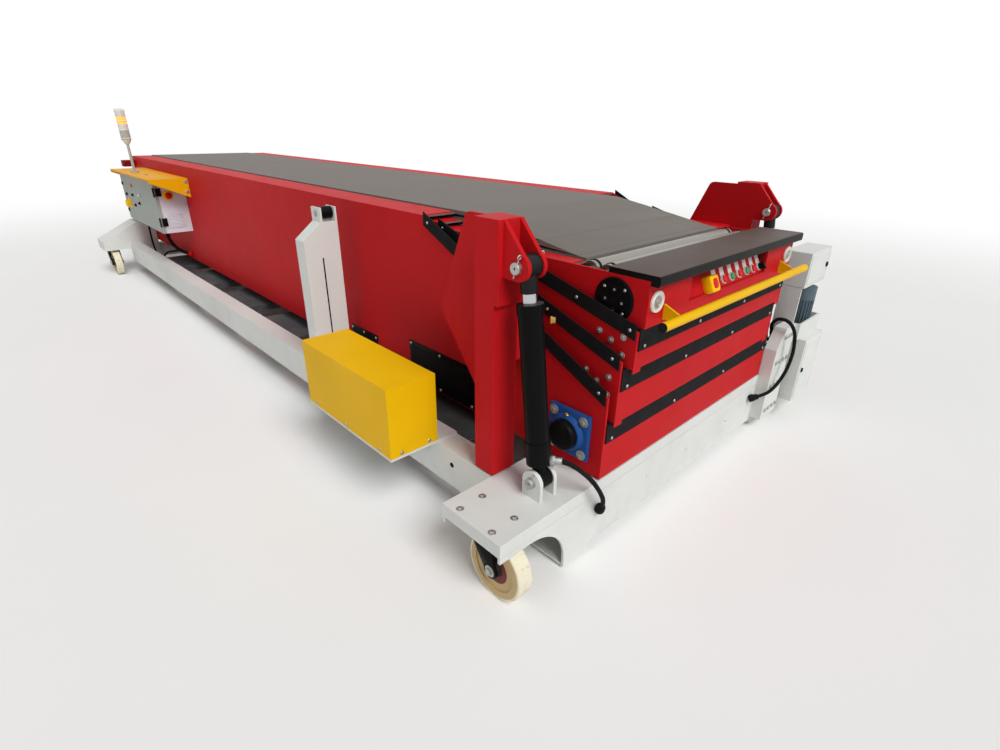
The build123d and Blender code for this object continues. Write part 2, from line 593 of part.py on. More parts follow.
# Casters: a fork that swivels under its plate and a cored wheel
CASTERS = (("front_right", FRONT_SWIVEL_X, -1), ("front_left", FRONT_SWIVEL_X, 1),
           ("rear_right", REAR_SWIVEL_X, -1), ("rear_left", REAR_SWIVEL_X, 1))
for caster_name, swivel_x, side in CASTERS:
    y = side * SWIVEL_Y
    axle_x = swivel_x + TRAIL
    leg_inner = WHEEL_HALF + FORK_GAP
    with BuildPart() as fork:
        bar_z(swivel_x, y, FORK_CROWN_R, FORK_CROWN_LOW, CASTER_PLATE_LOW - RUN_GAP)
        block(swivel_x - FORK_LEG_HALF, swivel_x + FORK_SHOULDER, y - leg_inner - FORK_THICK, y + leg_inner + FORK_THICK,
              FORK_CROWN_LOW, FORK_CROWN_LOW + 2 * FORK_THICK)
        for edge in (-1, 1):
            leg = ((swivel_x - FORK_LEG_HALF, FORK_CROWN_LOW + 2 * FORK_THICK), (axle_x - FORK_EYE_R, WHEEL_R),
                   (axle_x + FORK_EYE_R, WHEEL_R), (swivel_x + FORK_SHOULDER, FORK_CROWN_LOW + 2 * FORK_THICK))
            plate_xz(leg, y + edge * leg_inner, y + edge * (leg_inner + FORK_THICK))
            bar_y(axle_x, WHEEL_R, FORK_EYE_R, y + edge * leg_inner, y + edge * (leg_inner + FORK_THICK))
        bar_y(axle_x, WHEEL_R, AXLE_R, y - leg_inner - FORK_THICK, y + leg_inner + FORK_THICK)
    save(fork, f"{caster_name}_fork")
    with BuildPart() as wheel:
        bar_y(axle_x, WHEEL_R, WHEEL_R, y - WHEEL_HALF, y + WHEEL_HALF)
        fillet(wheel.edges().filter_by(GeomType.CIRCLE), WHEEL_ROUND)
        for edge in (-1, 1):
            bar_y(axle_x, WHEEL_R, WHEEL_CORE_R, y + edge * WHEEL_CORE_HALF, y + edge * WHEEL_HALF * 1.1, mode=Mode.SUBTRACT)
            bar_y(axle_x, WHEEL_R, HUB_R, y, y + edge * (WHEEL_HALF + FORK_GAP - RUN_GAP))
        bar_y(axle_x, WHEEL_R, AXLE_R + PIN_GAP, y - 2 * WHEEL_HALF, y + 2 * WHEEL_HALF, mode=Mode.SUBTRACT)
    save(wheel, f"{caster_name}_wheel")

# Telescopic sections: side sheets with folded top flanges, a floor with its front plate, wiper strips and a belt
for i, section in enumerate(SECTIONS):
    floor = SECTION_FLOORS[i]
    plate_top = floor + section.plate_height
    strip_top = plate_top + section.strip_height
    belt_top = BELT_TOPS[i]
    flange_top = belt_top - BELT_EDGE
    flange_low = flange_top - FLANGE_THICK
    slope_x = top_corner(section, flange_top)
    inner = section.half_width - SHEET
    outline = ((section.tail, floor), (section.nose, floor), (section.nose, nose_corner(section)), (slope_x, flange_top),
               (section.tail, flange_top))
    for side_name, side in SIDES:
        with BuildPart() as side_sheet:
            plate_xz(outline, side * inner, side * section.half_width)
            block(section.tail, slope_x, side * FLANGE_INNER, side * inner, flange_low, flange_top)
            if i > 0:
                tab_width, tab_thick, tab_drop = NOSE_TAB
                block(section.nose - tab_thick, section.nose, side * (section.half_width - tab_width),
                      side * section.half_width, floor - tab_drop, floor)
            if i == 0:
                bar_y(PIVOT_X, PIVOT_Z, PIVOT_R, side * inner, side * (PIVOT_PLATE_INNER + PIVOT_PLATE))
                bar_y(PIVOT_X, PIVOT_Z, PIVOT_BOSS_R, side * inner, side * (section.half_width + MOVE_GAP))
            if i == 0 and side < 0:
                glands("control_bundle", "control_loop")
        save(side_sheet, f"{section.name}_{side_name}_side")
    with BuildPart() as floor_sheet:
        block(section.tail, section.nose, -inner, inner, floor, floor + SHEET)
        block(section.nose - SHEET, section.nose, -inner, inner, floor, plate_top)
    save(floor_sheet, f"{section.name}_floor")
    with BuildPart() as strips:
        block(section.nose - SHEET, section.nose + STRIP_THICK, -inner, inner, plate_top, strip_top)
        for _, side in SIDES:
            plate_xz(side_strip(section, slope_x), side * section.half_width, side * (section.half_width + STRIP_THICK))
    save(strips, f"{section.name}_wipers")
    with BuildPart() as belt:
        ramp = FRONT_FACE - RAMP_SETBACK + RAMP_LENGTH * i
        low = belt_top - BELT_THICK - BED_THICK
        tip = BELT_TOPS[i + 1] + RAMP_TIP
        run = ((section.tail + SHEET, low), (ramp, low), (ramp + RAMP_LENGTH, tip), (ramp + RAMP_LENGTH, tip + RAMP_TIP),
               (ramp, belt_top), (section.tail + SHEET, belt_top))
        plate_xz(run, -BELT_HALF, BELT_HALF)
        block(section.tail + SHEET, slope_x, -inner, inner, flange_low - BED_THICK, flange_low)
    save(belt, f"{section.name}_belt")

# Rear end of the outer section
with BuildPart() as tail_plate:
    block(OUTER.tail, OUTER.tail + SHEET, -(OUTER.half_width - SHEET), OUTER.half_width - SHEET,
          OUTER_FLOOR + SHEET, BELT_TOP - BELT_THICK - FLANGE_THICK)
save(tail_plate, "outer_tail_plate")

# Lift columns: a tube beside the outer section, with a bracket, a gusset plate and a forked head for the rod's eye
STRIP_OUTLINE = side_strip(OUTER, top_corner(OUTER, BELT_TOP - BELT_EDGE))
for side_name, side in SIDES:
    with BuildPart() as column:
        block(COLUMN_BACK, COLUMN_FRONT, side * COLUMN_INNER, side * COLUMN_OUTER, COLUMN_LOW, COLUMN_TOP)
        block(COLUMN_FRONT, PAD_FRONT, side * COLUMN_INNER, side * COLUMN_OUTER, PAD_LOW, COLUMN_TOP)
        with BuildSketch(Plane.XZ.offset(-max(side * COLUMN_INNER, side * (COLUMN_INNER + PLATE)))) as gusset:
            with BuildLine():
                FilletPolyline((COLUMN_BACK, GUSSET_TOP), (GUSSET_CORNER, GUSSET_TOP), GUSSET_TIP, (COLUMN_BACK, GUSSET_LOW),
                               radius=GUSSET_ROUND)
                Line((COLUMN_BACK, GUSSET_LOW), (COLUMN_BACK, GUSSET_TOP))
            make_face()
        extrude(amount=PLATE)
        block(*BRACKET_X, side * OUTER.half_width, side * COLUMN_INNER, *BRACKET_Z)
        for edge in (-1, 1):
            ear = side * CYLINDER_Y + edge * (EYE_HALF + RUN_GAP)
            with BuildSketch(Plane.XZ.offset(-max(ear, ear + edge * PLATE))) as cheek:
                with BuildLine():
                    Polyline((PAD_FRONT, COLUMN_TOP), (UPPER_PIN[0] + EYE_R, UPPER_PIN[1] + EYE_R / 2),
                             (UPPER_PIN[0], UPPER_PIN[1] - EAR_R), (PAD_FRONT, UPPER_PIN[1] - EAR_R), close=True)
                make_face()
                with Locations(UPPER_PIN):
                    Circle(EAR_R)
            extrude(amount=PLATE)
        bar_y(*UPPER_PIN, PIN_R, side * (CYLINDER_Y - EYE_HALF - RUN_GAP - PLATE - PIN_HEAD),
              side * (CYLINDER_Y + EYE_HALF + RUN_GAP + PLATE + PIN_HEAD))
        plate_xz(STRIP_OUTLINE, side * OUTER.half_width, side * (OUTER.half_width + STRIP_THICK), mode=Mode.SUBTRACT)
    save(column, f"{side_name}_lift_column")

# Lift cylinders: the barrel turns on the beam's pin and the rod's eye sits on the column's pin
CYLINDER_LENGTH = ((UPPER_PIN[0] - LOWER_PIN[0]) ** 2 + (UPPER_PIN[1] - LOWER_PIN[1]) ** 2) ** 0.5
BARREL_END = CYLINDER_LENGTH - ROD_SHOWN
CYLINDER_DIR = ((UPPER_PIN[0] - LOWER_PIN[0]) / CYLINDER_LENGTH, 0, (UPPER_PIN[1] - LOWER_PIN[1]) / CYLINDER_LENGTH)


def cylinder_plane(side, distance):
    """Returns the plane square to a cylinder, at a distance from its lower pin."""
    origin = (LOWER_PIN[0] + CYLINDER_DIR[0] * distance, side * CYLINDER_Y, LOWER_PIN[1] + CYLINDER_DIR[2] * distance)
    return Plane(origin=origin, x_dir=(0, 1, 0), z_dir=CYLINDER_DIR)


for side_name, side in SIDES:
    with BuildPart() as barrel:
        for radius, start, end in ((BARREL_R, BARREL_START, BARREL_END), (NECK_R, 0.0, BARREL_START),
                                   (BARREL_HEAD_R, BARREL_END - BARREL_HEAD, BARREL_END),
                                   (BARREL_HEAD_R, BARREL_START, BARREL_START + BARREL_FOOT)):
            with BuildSketch(cylinder_plane(side, start)):
                Circle(radius)
            extrude(amount=end - start)
        bar_y(*LOWER_PIN, EYE_R, side * (CYLINDER_Y - EYE_HALF), side * (CYLINDER_Y + EYE_HALF))
        port = cylinder_plane(side, BARREL_END - PORT_DROP)
        with BuildSketch(Plane(origin=port.origin, z_dir=(1, -side, 0))) as boss:
            Circle(PORT_R)
        extrude(boss.sketch, amount=PORT_REACH)
        with BuildSketch(cylinder_plane(side, ROD_START - 2)):
            Circle(ROD_R + PIN_GAP)
        extrude(amount=CYLINDER_LENGTH, mode=Mode.SUBTRACT)
        bar_y(*LOWER_PIN, PIN_R + PIN_GAP, side * (CYLINDER_Y - EYE_HALF - 1), side * (CYLINDER_Y + EYE_HALF + 1),
              mode=Mode.SUBTRACT)
    save(barrel, f"{side_name}_cylinder_barrel")
    with BuildPart() as rod:
        with BuildSketch(cylinder_plane(side, ROD_START)):
            Circle(ROD_R)
        extrude(amount=CYLINDER_LENGTH - ROD_START)
        with BuildSketch(cylinder_plane(side, CYLINDER_LENGTH - ROD_NECK)):
            Circle(ROD_NECK_R)
        extrude(amount=ROD_NECK)
        bar_y(*UPPER_PIN, EYE_R, side * (CYLINDER_Y - EYE_HALF), side * (CYLINDER_Y + EYE_HALF))
        bar_y(*UPPER_PIN, PIN_R + ROD_EYE_PLAY, side * (CYLINDER_Y - EYE_HALF - 1), side * (CYLINDER_Y + EYE_HALF + 1),
              mode=Mode.SUBTRACT)
    save(rod, f"{side_name}_cylinder_rod")

# Flange bearings on the outer section's sides
with BuildPart() as flange_bearings:
    for _, side in SIDES:
        block(BEARING_X - BEARING_SIZE / 2, BEARING_X + BEARING_SIZE / 2, side * OUTER.half_width,
              side * (OUTER.half_width + BEARING_THICK * 0.6), BEARING_Z - BEARING_SIZE / 2, BEARING_Z + BEARING_SIZE / 2)
    fillet(flange_bearings.edges().filter_by(Axis.Y), BEARING_ROUND)
    for _, side in SIDES:
        bar_y(BEARING_X, BEARING_Z, BEARING_SIZE * 0.4, side * OUTER.half_width, side * (OUTER.half_width + BEARING_THICK))
        bar_y(BEARING_X, BEARING_Z, BEARING_CAP_R, side * OUTER.half_width,
              side * (OUTER.half_width + BEARING_THICK + BEARING_CAP))
save(flange_bearings, "flange_bearings")

# Control box on the right side of the outer section, with a hinged door, gear plate, hood and signal light
with BuildPart() as control_box:
    block(*BOX_X, -OUTER.half_width, -(BOX_FRONT - RUN_GAP), *BOX_Z)
    block(BOX_X[0] + BOX_WALL, BOX_X[1] - BOX_WALL, -(OUTER.half_width + BOX_WALL), -BOX_FRONT, BOX_Z[0] + BOX_WALL,
          BOX_Z[1] - BOX_WALL, mode=Mode.SUBTRACT)
    block(BOX_X[0] + 30, BOX_X[1] - 30, -(OUTER.half_width + BOX_WALL), -(OUTER.half_width + 2 * BOX_WALL),
          BOX_Z[0] + 25, BOX_Z[1] - 25)
    for gear in SWITCHGEAR:
        block(BOX_X[0] + gear.x_from * BOX_LENGTH, BOX_X[0] + gear.x_to * BOX_LENGTH, -(OUTER.half_width + BOX_WALL),
              -(OUTER.half_width + gear.depth * BOX_DEPTH), BOX_Z[0] + gear.z_from * BOX_HEIGHT, BOX_Z[0] + gear.z_to * BOX_HEIGHT)
save(control_box, "control_box")
with BuildPart() as control_door:
    block(*BOX_X, -BOX_FRONT, -(BOX_FRONT + DOOR_THICK), *BOX_Z)
    block(BOX_X[0] + BOX_WALL, BOX_X[1] - BOX_WALL, -BOX_FRONT, -(BOX_FRONT + DOOR_THICK - BOX_WALL),
          BOX_Z[0] + BOX_WALL, BOX_Z[1] - BOX_WALL, mode=Mode.SUBTRACT)
    for low in (BOX_Z[0] + HINGE_INSET, BOX_Z[1] - HINGE_INSET - HINGE_LENGTH):
        bar_z(BOX_X[1] + HINGE_OUT[0], -(BOX_FRONT + DOOR_THICK + HINGE_OUT[1]), HINGE_R, low, low + HINGE_LENGTH)
save(control_door, "control_door")
with BuildPart() as control_hood:
    block(*HOOD_X, -OUTER.half_width, -HOOD_OUTER, HOOD_TOP - HOOD_SHEET, HOOD_TOP)
    gusset = [(-y, z) for y, z in ((OUTER.half_width, HOOD_TOP - HOOD_GUSSET), (OUTER.half_width, HOOD_TOP),
                                   (HOOD_OUTER, HOOD_TOP), (HOOD_OUTER, HOOD_TOP - 4 * HOOD_SHEET))]
    plate_yz(gusset, HOOD_X[0], HOOD_X[0] + HOOD_SHEET)
    plate_yz(gusset, HOOD_X[1] - HOOD_SHEET, HOOD_X[1])
    block(*HOOD_X, -HOOD_OUTER, -(HOOD_OUTER - HOOD_SHEET), HOOD_TOP - 2 * HOOD_SHEET, HOOD_TOP)
save(control_hood, "control_hood")
with BuildPart() as signal_light:
    bar_z(SIGNAL_X, SIGNAL_Y, 3 * SIGNAL_POLE_R, HOOD_TOP, HOOD_TOP + 12)
    bar_z(SIGNAL_X, SIGNAL_Y, SIGNAL_POLE_R, HOOD_TOP, SIGNAL_POLE_TOP)
    bar_z(SIGNAL_X, SIGNAL_Y, SIGNAL_LAMP_R, SIGNAL_POLE_TOP, SIGNAL_TOP)
save(signal_light, "signal_light")

# Head stage: a shallow trough with a recessed control panel, transfer rollers, a table and a bumper
with BuildPart() as head_frame:
    block(HEAD_TAIL, HEAD_NOSE, -HEAD_HALF, HEAD_HALF, HEAD_FLOOR, HEAD_TOP)
    block(HEAD_TAIL - 1, HEAD_NOSE - SHEET, -HEAD_INNER, HEAD_INNER, HEAD_FLOOR + SHEET, HEAD_TOP + 1, mode=Mode.SUBTRACT)
    block(HEAD_NOSE - 2 * SHEET, HEAD_NOSE + 1, -PANEL_HALF, PANEL_HALF, PANEL_LOW, PANEL_HIGH, mode=Mode.SUBTRACT)
    for _, side in SIDES:
        for flange_back, flange_front in ((HEAD_TAIL, HEAD_BELT_FRONT), (TABLE_BACK, HEAD_NOSE)):
            block(flange_back, flange_front, side * FLANGE_INNER, side * HEAD_INNER, HEAD_TOP - FLANGE_THICK, HEAD_TOP)
save(head_frame, "head_frame")
with BuildPart() as head_belt:
    block(HEAD_TAIL + SHEET, HEAD_BELT_FRONT, -BELT_HALF, BELT_HALF, HEAD_BELT_TOP - BELT_THICK - BED_THICK, HEAD_BELT_TOP)
    block(HEAD_TAIL + SHEET, HEAD_BELT_FRONT, -HEAD_INNER, HEAD_INNER, HEAD_TOP - FLANGE_THICK - BED_THICK,
          HEAD_TOP - FLANGE_THICK)
save(head_belt, "head_belt")
for roller_name, roller_x in zip(("rear", "front"), ROLLER_X):
    with BuildPart() as roller:
        bar_y(roller_x, HEAD_BELT_TOP - ROLLER_R, ROLLER_R, -ROLLER_HALF, ROLLER_HALF)
        bar_y(roller_x, HEAD_BELT_TOP - ROLLER_R, ROLLER_SHAFT_R, -(HEAD_INNER - RUN_GAP), HEAD_INNER - RUN_GAP)
    save(roller, f"{roller_name}_transfer_roller")
with BuildPart() as head_table:
    block(TABLE_BACK, TABLE_FRONT, -HEAD_HALF, HEAD_HALF, HEAD_TOP, HEAD_TOP + TABLE_THICK)
    block(HEAD_NOSE + RUN_GAP, TABLE_FRONT, -HEAD_HALF, HEAD_HALF, HEAD_TOP - TABLE_LIP, HEAD_TOP)
    fillet(head_table.edges().filter_by(Axis.Y).sort_by(Axis.X)[-2:], TABLE_ROUND)
save(head_table, "head_table")
with BuildPart() as control_panel:
    block(HEAD_NOSE - PANEL_DEPTH, HEAD_NOSE - SHEET, -PANEL_HALF - SHEET, PANEL_HALF + SHEET, PANEL_LOW - SHEET,
          PANEL_HIGH + SHEET)
    face_low = HEAD_NOSE - SHEET
    face_high = face_low - (PANEL_HIGH - PANEL_LOW) * tan(radians(PANEL_TILT))
    recess = ((HEAD_NOSE, PANEL_LOW), (face_low, PANEL_LOW), (face_high, PANEL_HIGH), (HEAD_NOSE, PANEL_HIGH))
    plate_xz(recess, -PANEL_HALF, PANEL_HALF, mode=Mode.SUBTRACT)
    out = (cos(radians(PANEL_TILT)), 0, sin(radians(PANEL_TILT)))
    for button in BUTTONS:
        middle = ((face_low + face_high) / 2, button.place * BUTTON_PITCH, (PANEL_LOW + PANEL_HIGH) / 2)
        with BuildSketch(Plane(origin=Vector(*middle) - Vector(*out), z_dir=out)) as head:
            Circle(button.radius)
        extrude(head.sketch, amount=button.length + 1)
save(control_panel, "control_panel")
with BuildPart() as head_bumper:
    bar_y(BUMPER_X, BUMPER_Z, BUMPER_R, -BUMPER_HALF, BUMPER_HALF)
    for _, side in SIDES:
        bracket = ((HEAD_NOSE, BUMPER_Z - BUMPER_R), (BUMPER_X, BUMPER_Z - BUMPER_R / 2), (BUMPER_X, BUMPER_Z + BUMPER_R / 2),
                   (HEAD_NOSE, BUMPER_Z + BUMPER_BRACKET_RISE))
        plate_xz(bracket, side * BUMPER_BRACKET_Y, side * (BUMPER_BRACKET_Y + SHEET))
save(head_bumper, "head_bumper")
with BuildPart() as head_lamps:
    for _, side in SIDES:
        bar_x(side * LAMP_Y, LAMP_Z, LAMP_R, HEAD_NOSE, HEAD_NOSE + LAMP_THICK)
        bar_x(side * LAMP_Y, LAMP_Z, LAMP_DOME_R, HEAD_NOSE + LAMP_THICK, HEAD_NOSE + LAMP_DOME)
save(head_lamps, "head_lamps")
with BuildPart() as head_covers:
    for _, side in SIDES:
        bar_y(COVER_X, COVER_Z, COVER_R, side * HEAD_HALF, side * (HEAD_HALF + COVER_THICK))
save(head_covers, "head_covers")

# Hoses and cables: each runs straight between its points and turns by the largest arc that fits
for hose in CORDS:
    vectors = [Vector(*point) for point in hose.points]
    radii = []
    for before, corner, after in zip(vectors, vectors[1:], vectors[2:]):
        turn = radians((corner - before).get_angle(after - corner))
        radii.append(0.45 * min((corner - before).length, (after - corner).length) / tan(turn / 2))
    with BuildPart() as cord:
        with BuildLine() as route:
            FilletPolyline(*hose.points, radius=radii)
        with BuildSketch(Plane(origin=route.line @ 0, z_dir=route.line % 0)):
            Circle(hose.diameter / 2)
        sweep()
    print(hose.name, "length", round(route.wire().length), "radii", [round(r) for r in radii])
    save(cord, hose.name)
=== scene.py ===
"""Studio scene of a mobile telescopic belt conveyor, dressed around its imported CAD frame.

Metres. +X is the delivery end, +Y the machine's left side, +Z up.
"""
from __future__ import annotations

import json
import logging
from dataclasses import dataclass
from enum import Enum
from math import cos, pi, radians, sin, tan
from typing import Callable, Sequence

import bpy
from bpy.types import ID, Curve, Material, NodeSocket, Object
from mathutils import Matrix, Vector

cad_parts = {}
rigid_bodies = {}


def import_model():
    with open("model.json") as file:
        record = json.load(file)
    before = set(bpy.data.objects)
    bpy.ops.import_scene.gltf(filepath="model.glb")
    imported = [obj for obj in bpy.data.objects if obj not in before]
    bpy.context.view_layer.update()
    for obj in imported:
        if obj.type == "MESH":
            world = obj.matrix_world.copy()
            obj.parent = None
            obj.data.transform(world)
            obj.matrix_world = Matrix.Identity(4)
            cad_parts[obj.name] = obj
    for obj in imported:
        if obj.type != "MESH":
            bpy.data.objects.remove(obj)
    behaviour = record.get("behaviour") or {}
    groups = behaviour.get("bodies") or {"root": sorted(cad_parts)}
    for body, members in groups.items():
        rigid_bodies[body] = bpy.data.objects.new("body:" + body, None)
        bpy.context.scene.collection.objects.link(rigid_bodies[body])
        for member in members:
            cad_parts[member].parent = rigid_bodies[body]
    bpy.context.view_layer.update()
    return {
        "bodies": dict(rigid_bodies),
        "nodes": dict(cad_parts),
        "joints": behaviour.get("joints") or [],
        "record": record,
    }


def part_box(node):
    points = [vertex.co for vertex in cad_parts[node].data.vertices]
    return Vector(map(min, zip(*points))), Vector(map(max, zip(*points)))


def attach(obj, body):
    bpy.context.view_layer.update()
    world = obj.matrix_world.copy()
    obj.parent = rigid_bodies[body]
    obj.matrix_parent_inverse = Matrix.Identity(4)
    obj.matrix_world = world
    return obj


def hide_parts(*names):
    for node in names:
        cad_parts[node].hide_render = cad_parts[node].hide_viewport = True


LOG = logging.getLogger("conveyor")
Colour = tuple[float, float, float, float]
Point = tuple[float, float, float]
Spots = Sequence[tuple[float, float]]

SIDES = (("right", -1.0), ("left", 1.0))
BITE = 0.001  # how far a thin piece reaches into what carries it
HAIR = 0.0003  # the finest bevel or gap
BLACK_RGBA = (0.0, 0.0, 0.0, 1.0)
WHITE_RGBA = (1.0, 1.0, 1.0, 1.0)


def srgb(code: str) -> Colour:
    """Turns a colour code into linear light.

    Args:
        code: six hexadecimal digits.
    Returns:
        Red, green, blue and alpha.
    """
    parts = [int(code[i:i + 2], 16) / 255 for i in (0, 2, 4)]
    linear = [c / 12.92 if c <= 0.04045 else ((c + 0.055) / 1.055) ** 2.4 for c in parts]
    return linear[0], linear[1], linear[2], 1.0


def shaded(colour: Colour, share: float, lift: float = 0.0) -> Colour:
    """Scales a colour's light and lifts it, and leaves its alpha at 1."""
    return tuple(c * share + lift for c in colour[:3]) + (1.0,)


def stood(name: str, data: ID) -> Object:
    """Puts a new object with this data into the scene.

    Args:
        name: its name.
        data: its mesh, curve, lamp or camera.
    Returns:
        The object.
    """
    made = bpy.data.objects.new(name, data)
    bpy.context.scene.collection.objects.link(made)
    return made


class Tone(Enum):
    """Colours of the machine's paints and materials."""

    WHITE = "dadcd8"
    RED = "c0151b"
    # the red darkened: painted shade for red faces that stand in shadow
    SHADED_RED = "7d1414"
    YELLOW = "efbb00"
    AMBER_YELLOW = "e8a500"
    SLATE = "4a4d50"
    BLACK = "0b0b0c"
    SOOT = "161617"
    TABLE = "46362c"
    GREY_GREEN = "a4aba4"
    MOTOR = "56666f"
    BLUE = "1a4a8c"
    BELT = "6f6862"
    CREAM = "e4dcc3"
    TAN = "c9b183"
    CORE_RED = "7c1a1c"
    ZINC = "b9bab8"
    CHROME = "d5d7d9"
    ROLLER = "a39f98"
    CLEAR = "dedad5"
    BRASS = "c39b52"
    AMBER = "ff9a1c"
    LAVENDER = "d9d9e2"
    IVORY = "d8d6cc"
    LENS = "eef0ef"
    GREEN = "178a58"
    SIGNAL_RED = "c8161b"
    FLOOR = "f4f4f3"

    @property
    def rgba(self) -> Colour:
        """The colour in linear light."""
        return srgb(self.value)


class Value:
    """A socket in a shader that takes part in Python expressions."""

    def __init__(self, shader: Shader, socket: NodeSocket) -> None:
        """Keeps the shader and the socket."""
        self.shader = shader
        self.socket = socket

    def _math(self, operation: str, first: Value | float, second: Value | float = 0.0) -> Value:
        """Adds one Math node.

        Args:
            operation: the node's operation.
            first: its first value.
            second: its second value.
        Returns:
            The node's result.
        """
        return self.shader.node("ShaderNodeMath", {"operation": operation}, {0: first, 1: second})

    def __add__(self, other: Value | float) -> Value:
        """Sum."""
        return self._math("ADD", self, other)

    __radd__ = __add__

    def __sub__(self, other: Value | float) -> Value:
        """Difference."""
        return self._math("SUBTRACT", self, other)

    def __rsub__(self, other: float) -> Value:
        """Difference from a number."""
        return self._math("SUBTRACT", other, self)

    def __mul__(self, other: Value | float) -> Value:
        """Product."""
        return self._math("MULTIPLY", self, other)

    __rmul__ = __mul__

    def __pow__(self, other: float) -> Value:
        """Power."""
        return self._math("POWER", self, other)

    def __abs__(self) -> Value:
        """Size without its sign."""
        return self._math("ABSOLUTE", self)

    def __gt__(self, other: float) -> Value:
        """1 where the value is larger."""
        return self._math("GREATER_THAN", self, other)

    def wave(self) -> Value:
        """Sine of the value."""
        return self._math("SINE", self)

    def step(self, low: float, high: float) -> Value:
        """Rises smoothly from 0 at low to 1 at high."""
        return self.shader.node("ShaderNodeMapRange", {"interpolation_type": "SMOOTHSTEP"},
                                {"Value": self, "From Min": low, "From Max": high})


class Shader:
    """A material under construction, on Object coordinates."""

    def __init__(self, name: str) -> None:
        """Starts an empty material with a Principled shader.

        Args:
            name: the material's name.
        """
        self.material = bpy.data.materials.new(name)
        self.material.use_nodes = True
        self.tree = self.material.node_tree
        self.tree.nodes.clear()
        self.surface = self.tree.nodes.new("ShaderNodeBsdfPrincipled")
        output = self.tree.nodes.new("ShaderNodeOutputMaterial")
        self.tree.links.new(self.surface.outputs["BSDF"], output.inputs["Surface"])

    def node(self, kind: str, settings: dict[str, object], inputs: dict[str | int, object],
             output: str | int = 0) -> Value:
        """Adds a node.

        Args:
            kind: the node's type.
            settings: attributes that are set first.
            inputs: a link or a number for each named socket.
            output: the socket that is returned.
        Returns:
            That socket, wrapped.
        """
        made = self.tree.nodes.new(kind)
        for key, setting in settings.items():
            setattr(made, key, setting)
        for key, value in inputs.items():
            self.feed(made.inputs[key], value)
        return Value(self, made.outputs[output])

    def feed(self, socket: NodeSocket, value: object) -> None:
        """Links or sets one socket.

        Args:
            socket: the socket.
            value: a link, or what it is set to.
        """
        if isinstance(value, Value):
            self.tree.links.new(value.socket, socket)
        else:
            socket.default_value = value

    def place(self) -> Value:
        """The point on the object, in metres."""
        return self.node("ShaderNodeTexCoord", {}, {}, "Object")

    def axes(self) -> tuple[Value, Value, Value]:
        """The point's X, Y and Z.

        Returns:
            The three values.
        """
        first = self.node("ShaderNodeSeparateXYZ", {}, {"Vector": self.place()}, "X")
        outputs = first.socket.node.outputs
        return first, Value(self, outputs["Y"]), Value(self, outputs["Z"])

    def noise(self, scale: float, stretch: Point = (1.0, 1.0, 1.0), detail: float = 3.0,
              rough: float = 0.55) -> Value:
        """Noise over the object.

        Args:
            scale: repeats in a metre.
            stretch: share of that scale along each axis.
            detail: octaves.
            rough: weight of the finer octaves.
        Returns:
            A value from 0 to 1.
        """
        where = self.node("ShaderNodeVectorMath", {"operation": "MULTIPLY"}, {0: self.place(), 1: stretch})
        return self.node("ShaderNodeTexNoise", {},
                         {"Vector": where, "Scale": scale, "Detail": detail, "Roughness": rough})

    def mix(self, factor: Value | float, first: Value | Colour, second: Value | Colour) -> Value:
        """Mixes two colours by a factor.

        Args:
            factor: share of the second colour.
            first: the colour at 0.
            second: the colour at 1.
        Returns:
            The mixed colour.
        """
        made = self.tree.nodes.new("ShaderNodeMix")
        made.data_type = "RGBA"
        for index, value in ((0, factor), (6, first), (7, second)):
            self.feed(made.inputs[index], value)
        return Value(self, made.outputs[2])

    def bump(self, height: Value, depth: float) -> Value:
        """Turns a height, scaled to a depth in metres, into a normal."""
        return self.node("ShaderNodeBump", {}, {"Height": height, "Distance": depth, "Strength": 1.0}, "Normal")

    def finish(self, **sockets: object) -> Material:
        """Sets the Principled shader's sockets.

        Args:
            sockets: a value or link for each socket, with _ for a space in its name.
        Returns:
            The finished material.
        """
        for name, value in sockets.items():
            self.feed(self.surface.inputs[name.replace("_", " ")], value)
        return self.material


@dataclass(frozen=True)
class Finish:
    """What a surface is made of."""

    name: str

    def sockets(self, s: Shader) -> dict[str, object]:
        """Builds what feeds the shader's sockets."""
        raise NotImplementedError

    def material(self) -> Material:
        """Makes the material."""
        s = Shader(self.name)
        return s.finish(**self.sockets(s))


@dataclass(frozen=True)
class Paint(Finish):
    """Sprayed paint on sheet steel, with a little mottling, dust low down and fine peel."""

    tone: Tone
    roughness: float = 0.38
    dust: float = 0.25
    peel: float = 0.00012
    shine: float = 0.16

    def sockets(self, s: Shader) -> dict[str, object]:
        """Builds what feeds the shader's sockets.

        Args:
            s: the shader.
        Returns:
            A value or link for each socket, with _ for a space in its name.
        """
        _, _, z = s.axes()
        colour = self.tone.rgba
        mottled = s.mix(s.noise(2.3, detail=4.0), shaded(colour, 0.84), shaded(colour, 1.10, 0.004))
        low = (1 - z.step(0.02, 0.42)) * s.noise(9.0, detail=5.0).step(0.38, 0.78) * self.dust
        rub = s.noise(26.0, (0.25, 1.0, 1.0), detail=6.0).step(0.66, 0.80) * (self.dust * 0.5)
        base = s.mix(low + rub, mottled, srgb("8d867c"))
        gloss = self.roughness + s.noise(14.0, detail=4.0) * 0.12 + low * 0.5
        return dict(Base_Color=base, Roughness=gloss, Normal=s.bump(s.noise(520.0, detail=2.0), self.peel),
                    Specular_IOR_Level=self.shine)


